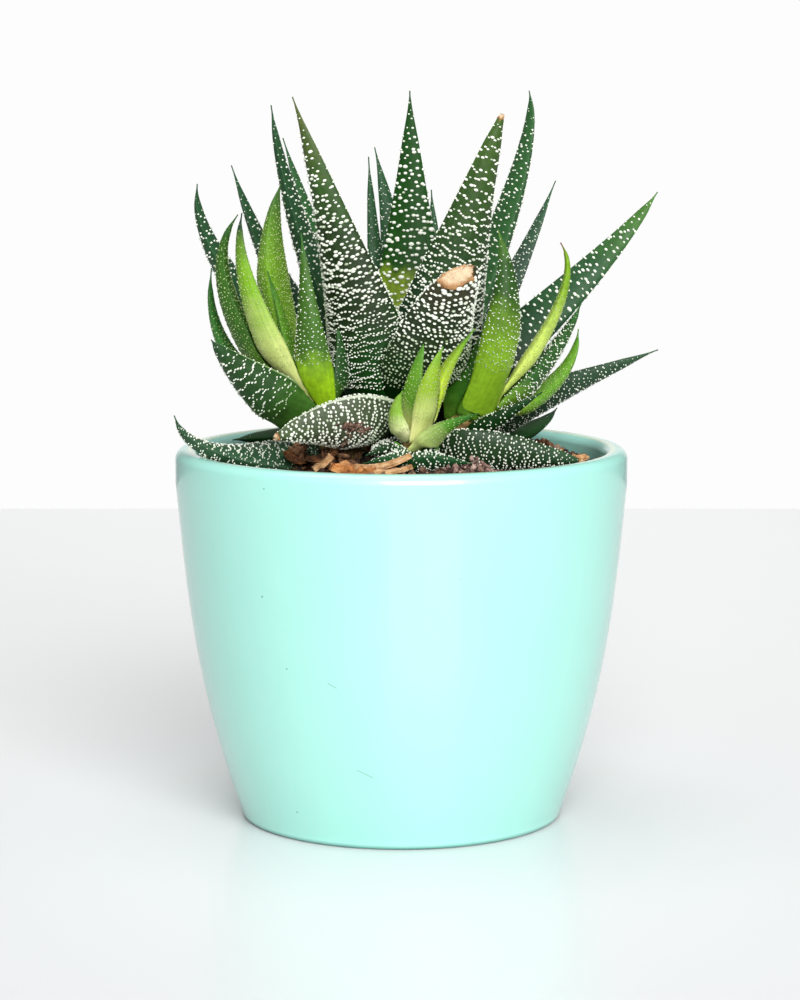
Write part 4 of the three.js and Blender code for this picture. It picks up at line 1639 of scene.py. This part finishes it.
BITS = (
    Bit("bark_strip", (15, 3, 1), (0, -9, 64.6), -18, 8, 50, TAN_BARK, "bark_curl"),
    Bit("bark_splinter", (4, 3, 1), (-8.5, -10, 65), 30, -50, 0, TAN_BARK, "bark_shard"),
    Bit("bark_flake_left", (6, 4, 1.2), (-15, -3, 63.8), 40, 6, 10, ORANGE_BARK, "bark_left"),
    Bit("bark_flake_right", (5, 3.5, 1.2), (8, 0, 64), -30, 10, 0, ORANGE_BARK, "bark_right"),
    Bit("withered_leaf_end", (4.5, 3, 0.8), (31, 3, 62.9), 35, -12, 60, DRY_LEAF, "dry_leaf_end"),
    Bit("bark_ribbon", (10, 2.4, 0.7), (-3, -30, 66.3), -4, -12, 40, TAN_BARK),
    Bit("bark_ribbon_low", (7, 1.5, 0.6), (-1.5, -31.6, 65.6), 8, -6, 30, TAN_BARK),
    Bit("orange_chip", (4.8, 3, 1.2), (-9.5, -30, 65.7), 12, 10, 20, ORANGE_BARK),
    Bit("orange_chip_small", (3, 2, 0.9), (-5.8, -31.6, 65.6), -20, -8, 0, ORANGE_BARK),
    Bit("tan_shard", (4, 3.4, 0.7), (-13.2, -24, 66), 10, -35, 20, TAN_BARK),
    Bit("rotted_sheath_left", (6.5, 4.5, 0.7), (-13, -19.5, 66.6), 15, -25, 90, BROWN_LEAF),
    Bit("rotted_sheath_low", (5, 4, 0.6), (-18, -15.5, 65.6), -20, 20, 80, BROWN_LEAF),
    Bit("dry_tip_scrap", (2.8, 2.2, 0.6), (30.8, -14.5, 65.8), 30, 5, 50, DRY_LEAF),
)


@dataclass
class Litter:
    """Bark and withered leaf lying loose on the soil."""

    bits: tuple[Bit, ...] = BITS
    cuts: int = 15

    def build(self) -> None:
        """Build each bit."""
        for number, bit in enumerate(self.bits):
            finish = bit.finish.material(by_piece=False)
            add_piece(bit.name, self.shape(bit, number), finish, "dry_leaf", bit.node)

    def shape(self, bit: Bit, number: int) -> bpy.types.Mesh:
        """Cut, roughen and bend one bit.

        Args:
            bit: Its size and place.
            number: Its number, which sets its own lumps.

        Returns:
            Its mesh, in metres.
        """
        block = start_piece(bpy.ops.mesh.primitive_cube_add, size=1)
        edit_all(partial(bpy.ops.mesh.subdivide, number_cuts=self.cuts))
        mesh = take_mesh(block)
        form = read_points(mesh)
        length, width, thickness = bit.size
        lumps = np.array([
            noise.noise(Vector(p) * 3 + Vector((number * 6.1, 0, 0)))
            + 0.6 * noise.noise(Vector(p) * 8 + Vector((0, number * 3.7, 0)))
            for p in form
        ])
        x = form[:, 0] * length
        y = form[:, 1] * width * ((1 - 0.7 * np.abs(form[:, 0])) * (1 + 0.25 * lumps))
        z = form[:, 2] * thickness * (1 + 0.5 * lumps) + 0.35 * thickness * lumps
        if bit.curl:
            bend = math.radians(bit.curl) / length
            radius = 1 / bend - z
            x, z = radius * np.sin(x * bend), 1 / bend - radius * np.cos(x * bend)
        tilt, turn = math.radians(bit.tilt), math.radians(bit.turn)
        x, z = x * math.cos(tilt) + z * math.sin(tilt), z * math.cos(tilt) - x * math.sin(tilt)
        x, y = x * math.cos(turn) - y * math.sin(turn), x * math.sin(turn) + y * math.cos(turn)
        write_points(mesh, np.stack([x, y, z], axis=1) + bit.at)
        return mesh


# Studio


@dataclass
class Studio:
    """Pale table, white surroundings, soft lights and the camera."""

    camera_place: Point = (0, -520, 128.84)
    camera_down: float = 7.9236
    lens: float = 106.355
    shift: float = -0.00138
    table_near: float = -700
    table_far: float = 388
    table_half_width: float = 1300
    table_thick: float = 20
    table_edge: float = 2
    aim: Point = (0, 0, 70)

    def build(self) -> None:
        """Set up the table, the lights and the camera."""
        self.table()
        self.surroundings()
        self.soft_light("key_softbox", (270, -1270, 820), 1000, 31)
        self.soft_light("top_softbox", (-150, 150, 1300), 900, 5.5)
        self.camera()
        bpy.context.scene.view_settings.view_transform = "Standard"

    def table(self) -> None:
        """Lay a thin board with softened edges under the pot."""
        middle = (self.table_far + self.table_near) / 2 * MM
        thick = self.table_thick * MM
        place = (0, middle, -thick / 2)
        board = start_piece(bpy.ops.mesh.primitive_cube_add, size=1, location=place)
        board.name = "table"
        depth = (self.table_far - self.table_near) * MM
        board.scale = (2 * self.table_half_width * MM, depth, thick)
        bpy.ops.object.transform_apply(location=True, rotation=False, scale=True)
        edge = board.modifiers.new("edge", "BEVEL")
        edge.width, edge.segments = self.table_edge * MM, 3
        bpy.ops.object.modifier_apply(modifier="edge")
        board.data.materials.append(TableFinish().material())

    @staticmethod
    def surroundings() -> None:
        """Surround the set with white, a little greyer on the camera's side."""
        world = bpy.data.worlds.new("white_studio")
        bpy.context.scene.world = world
        world.use_nodes = True
        world.node_tree.nodes.clear()
        add = partial(add_node, world.node_tree)
        depth = add("SeparateXYZ", [add("TexCoord", out="Generated")], "Y")
        greys = [(0.0, "#B6B6B6"), (0.5, "#B8B8B8"), (0.78, "#929292"), (0.93, "#929292"),
                 (0.985, "#FFFFFF")]
        shadows = add("Background", [add("ValToRGB", [depth], stops=greys), 0.92])
        wall = add("Background", [linear("#FDFDFD"), 1.0])
        seen = add("LightPath", out="Is Camera Ray")
        add("OutputWorld", [add("MixShader", [seen, shadows, wall])])

    def soft_light(self, name: str, place: Point, size: float, power: float) -> None:
        """Hang a square softbox that faces the plant.

        Args:
            name: Its name.
            place: Its middle.
            size: Its side.
            power: Its power in watts.
        """
        light = bpy.data.lights.new(name, "AREA")
        light.size, light.energy = size * MM, power
        lamp = bpy.data.objects.new(name, light)
        lamp.location = Vector(place) * MM
        aim = Vector(self.aim) * MM - lamp.location
        lamp.rotation_mode = "QUATERNION"
        lamp.rotation_quaternion = aim.to_track_quat("-Z", "Y")
        bpy.context.scene.collection.objects.link(lamp)

    def camera(self) -> None:
        """Place the camera where the picture was taken from."""
        data = bpy.data.cameras.new("camera")
        data.lens, data.sensor_width, data.shift_x = self.lens, 36, self.shift
        data.clip_start, data.clip_end = 0.05, 20
        camera = bpy.data.objects.new("camera", data)
        camera.location = Vector(self.camera_place) * MM
        camera.rotation_euler = (math.radians(90 - self.camera_down), 0, 0)
        bpy.context.scene.collection.objects.link(camera)
        bpy.context.scene.camera = camera


def main() -> None:
    """Build the pot, its soil, the plants and the studio, and note their size."""
    logging.basicConfig(level=logging.INFO, format="%(name)s %(message)s")
    pot, foliage = Pot(), Foliage()
    for part in (pot, Stems(), foliage, SoilBed(pot, foliage.blades), Litter(), Studio()):
        part.build()


if __name__ == "__main__":
    main()
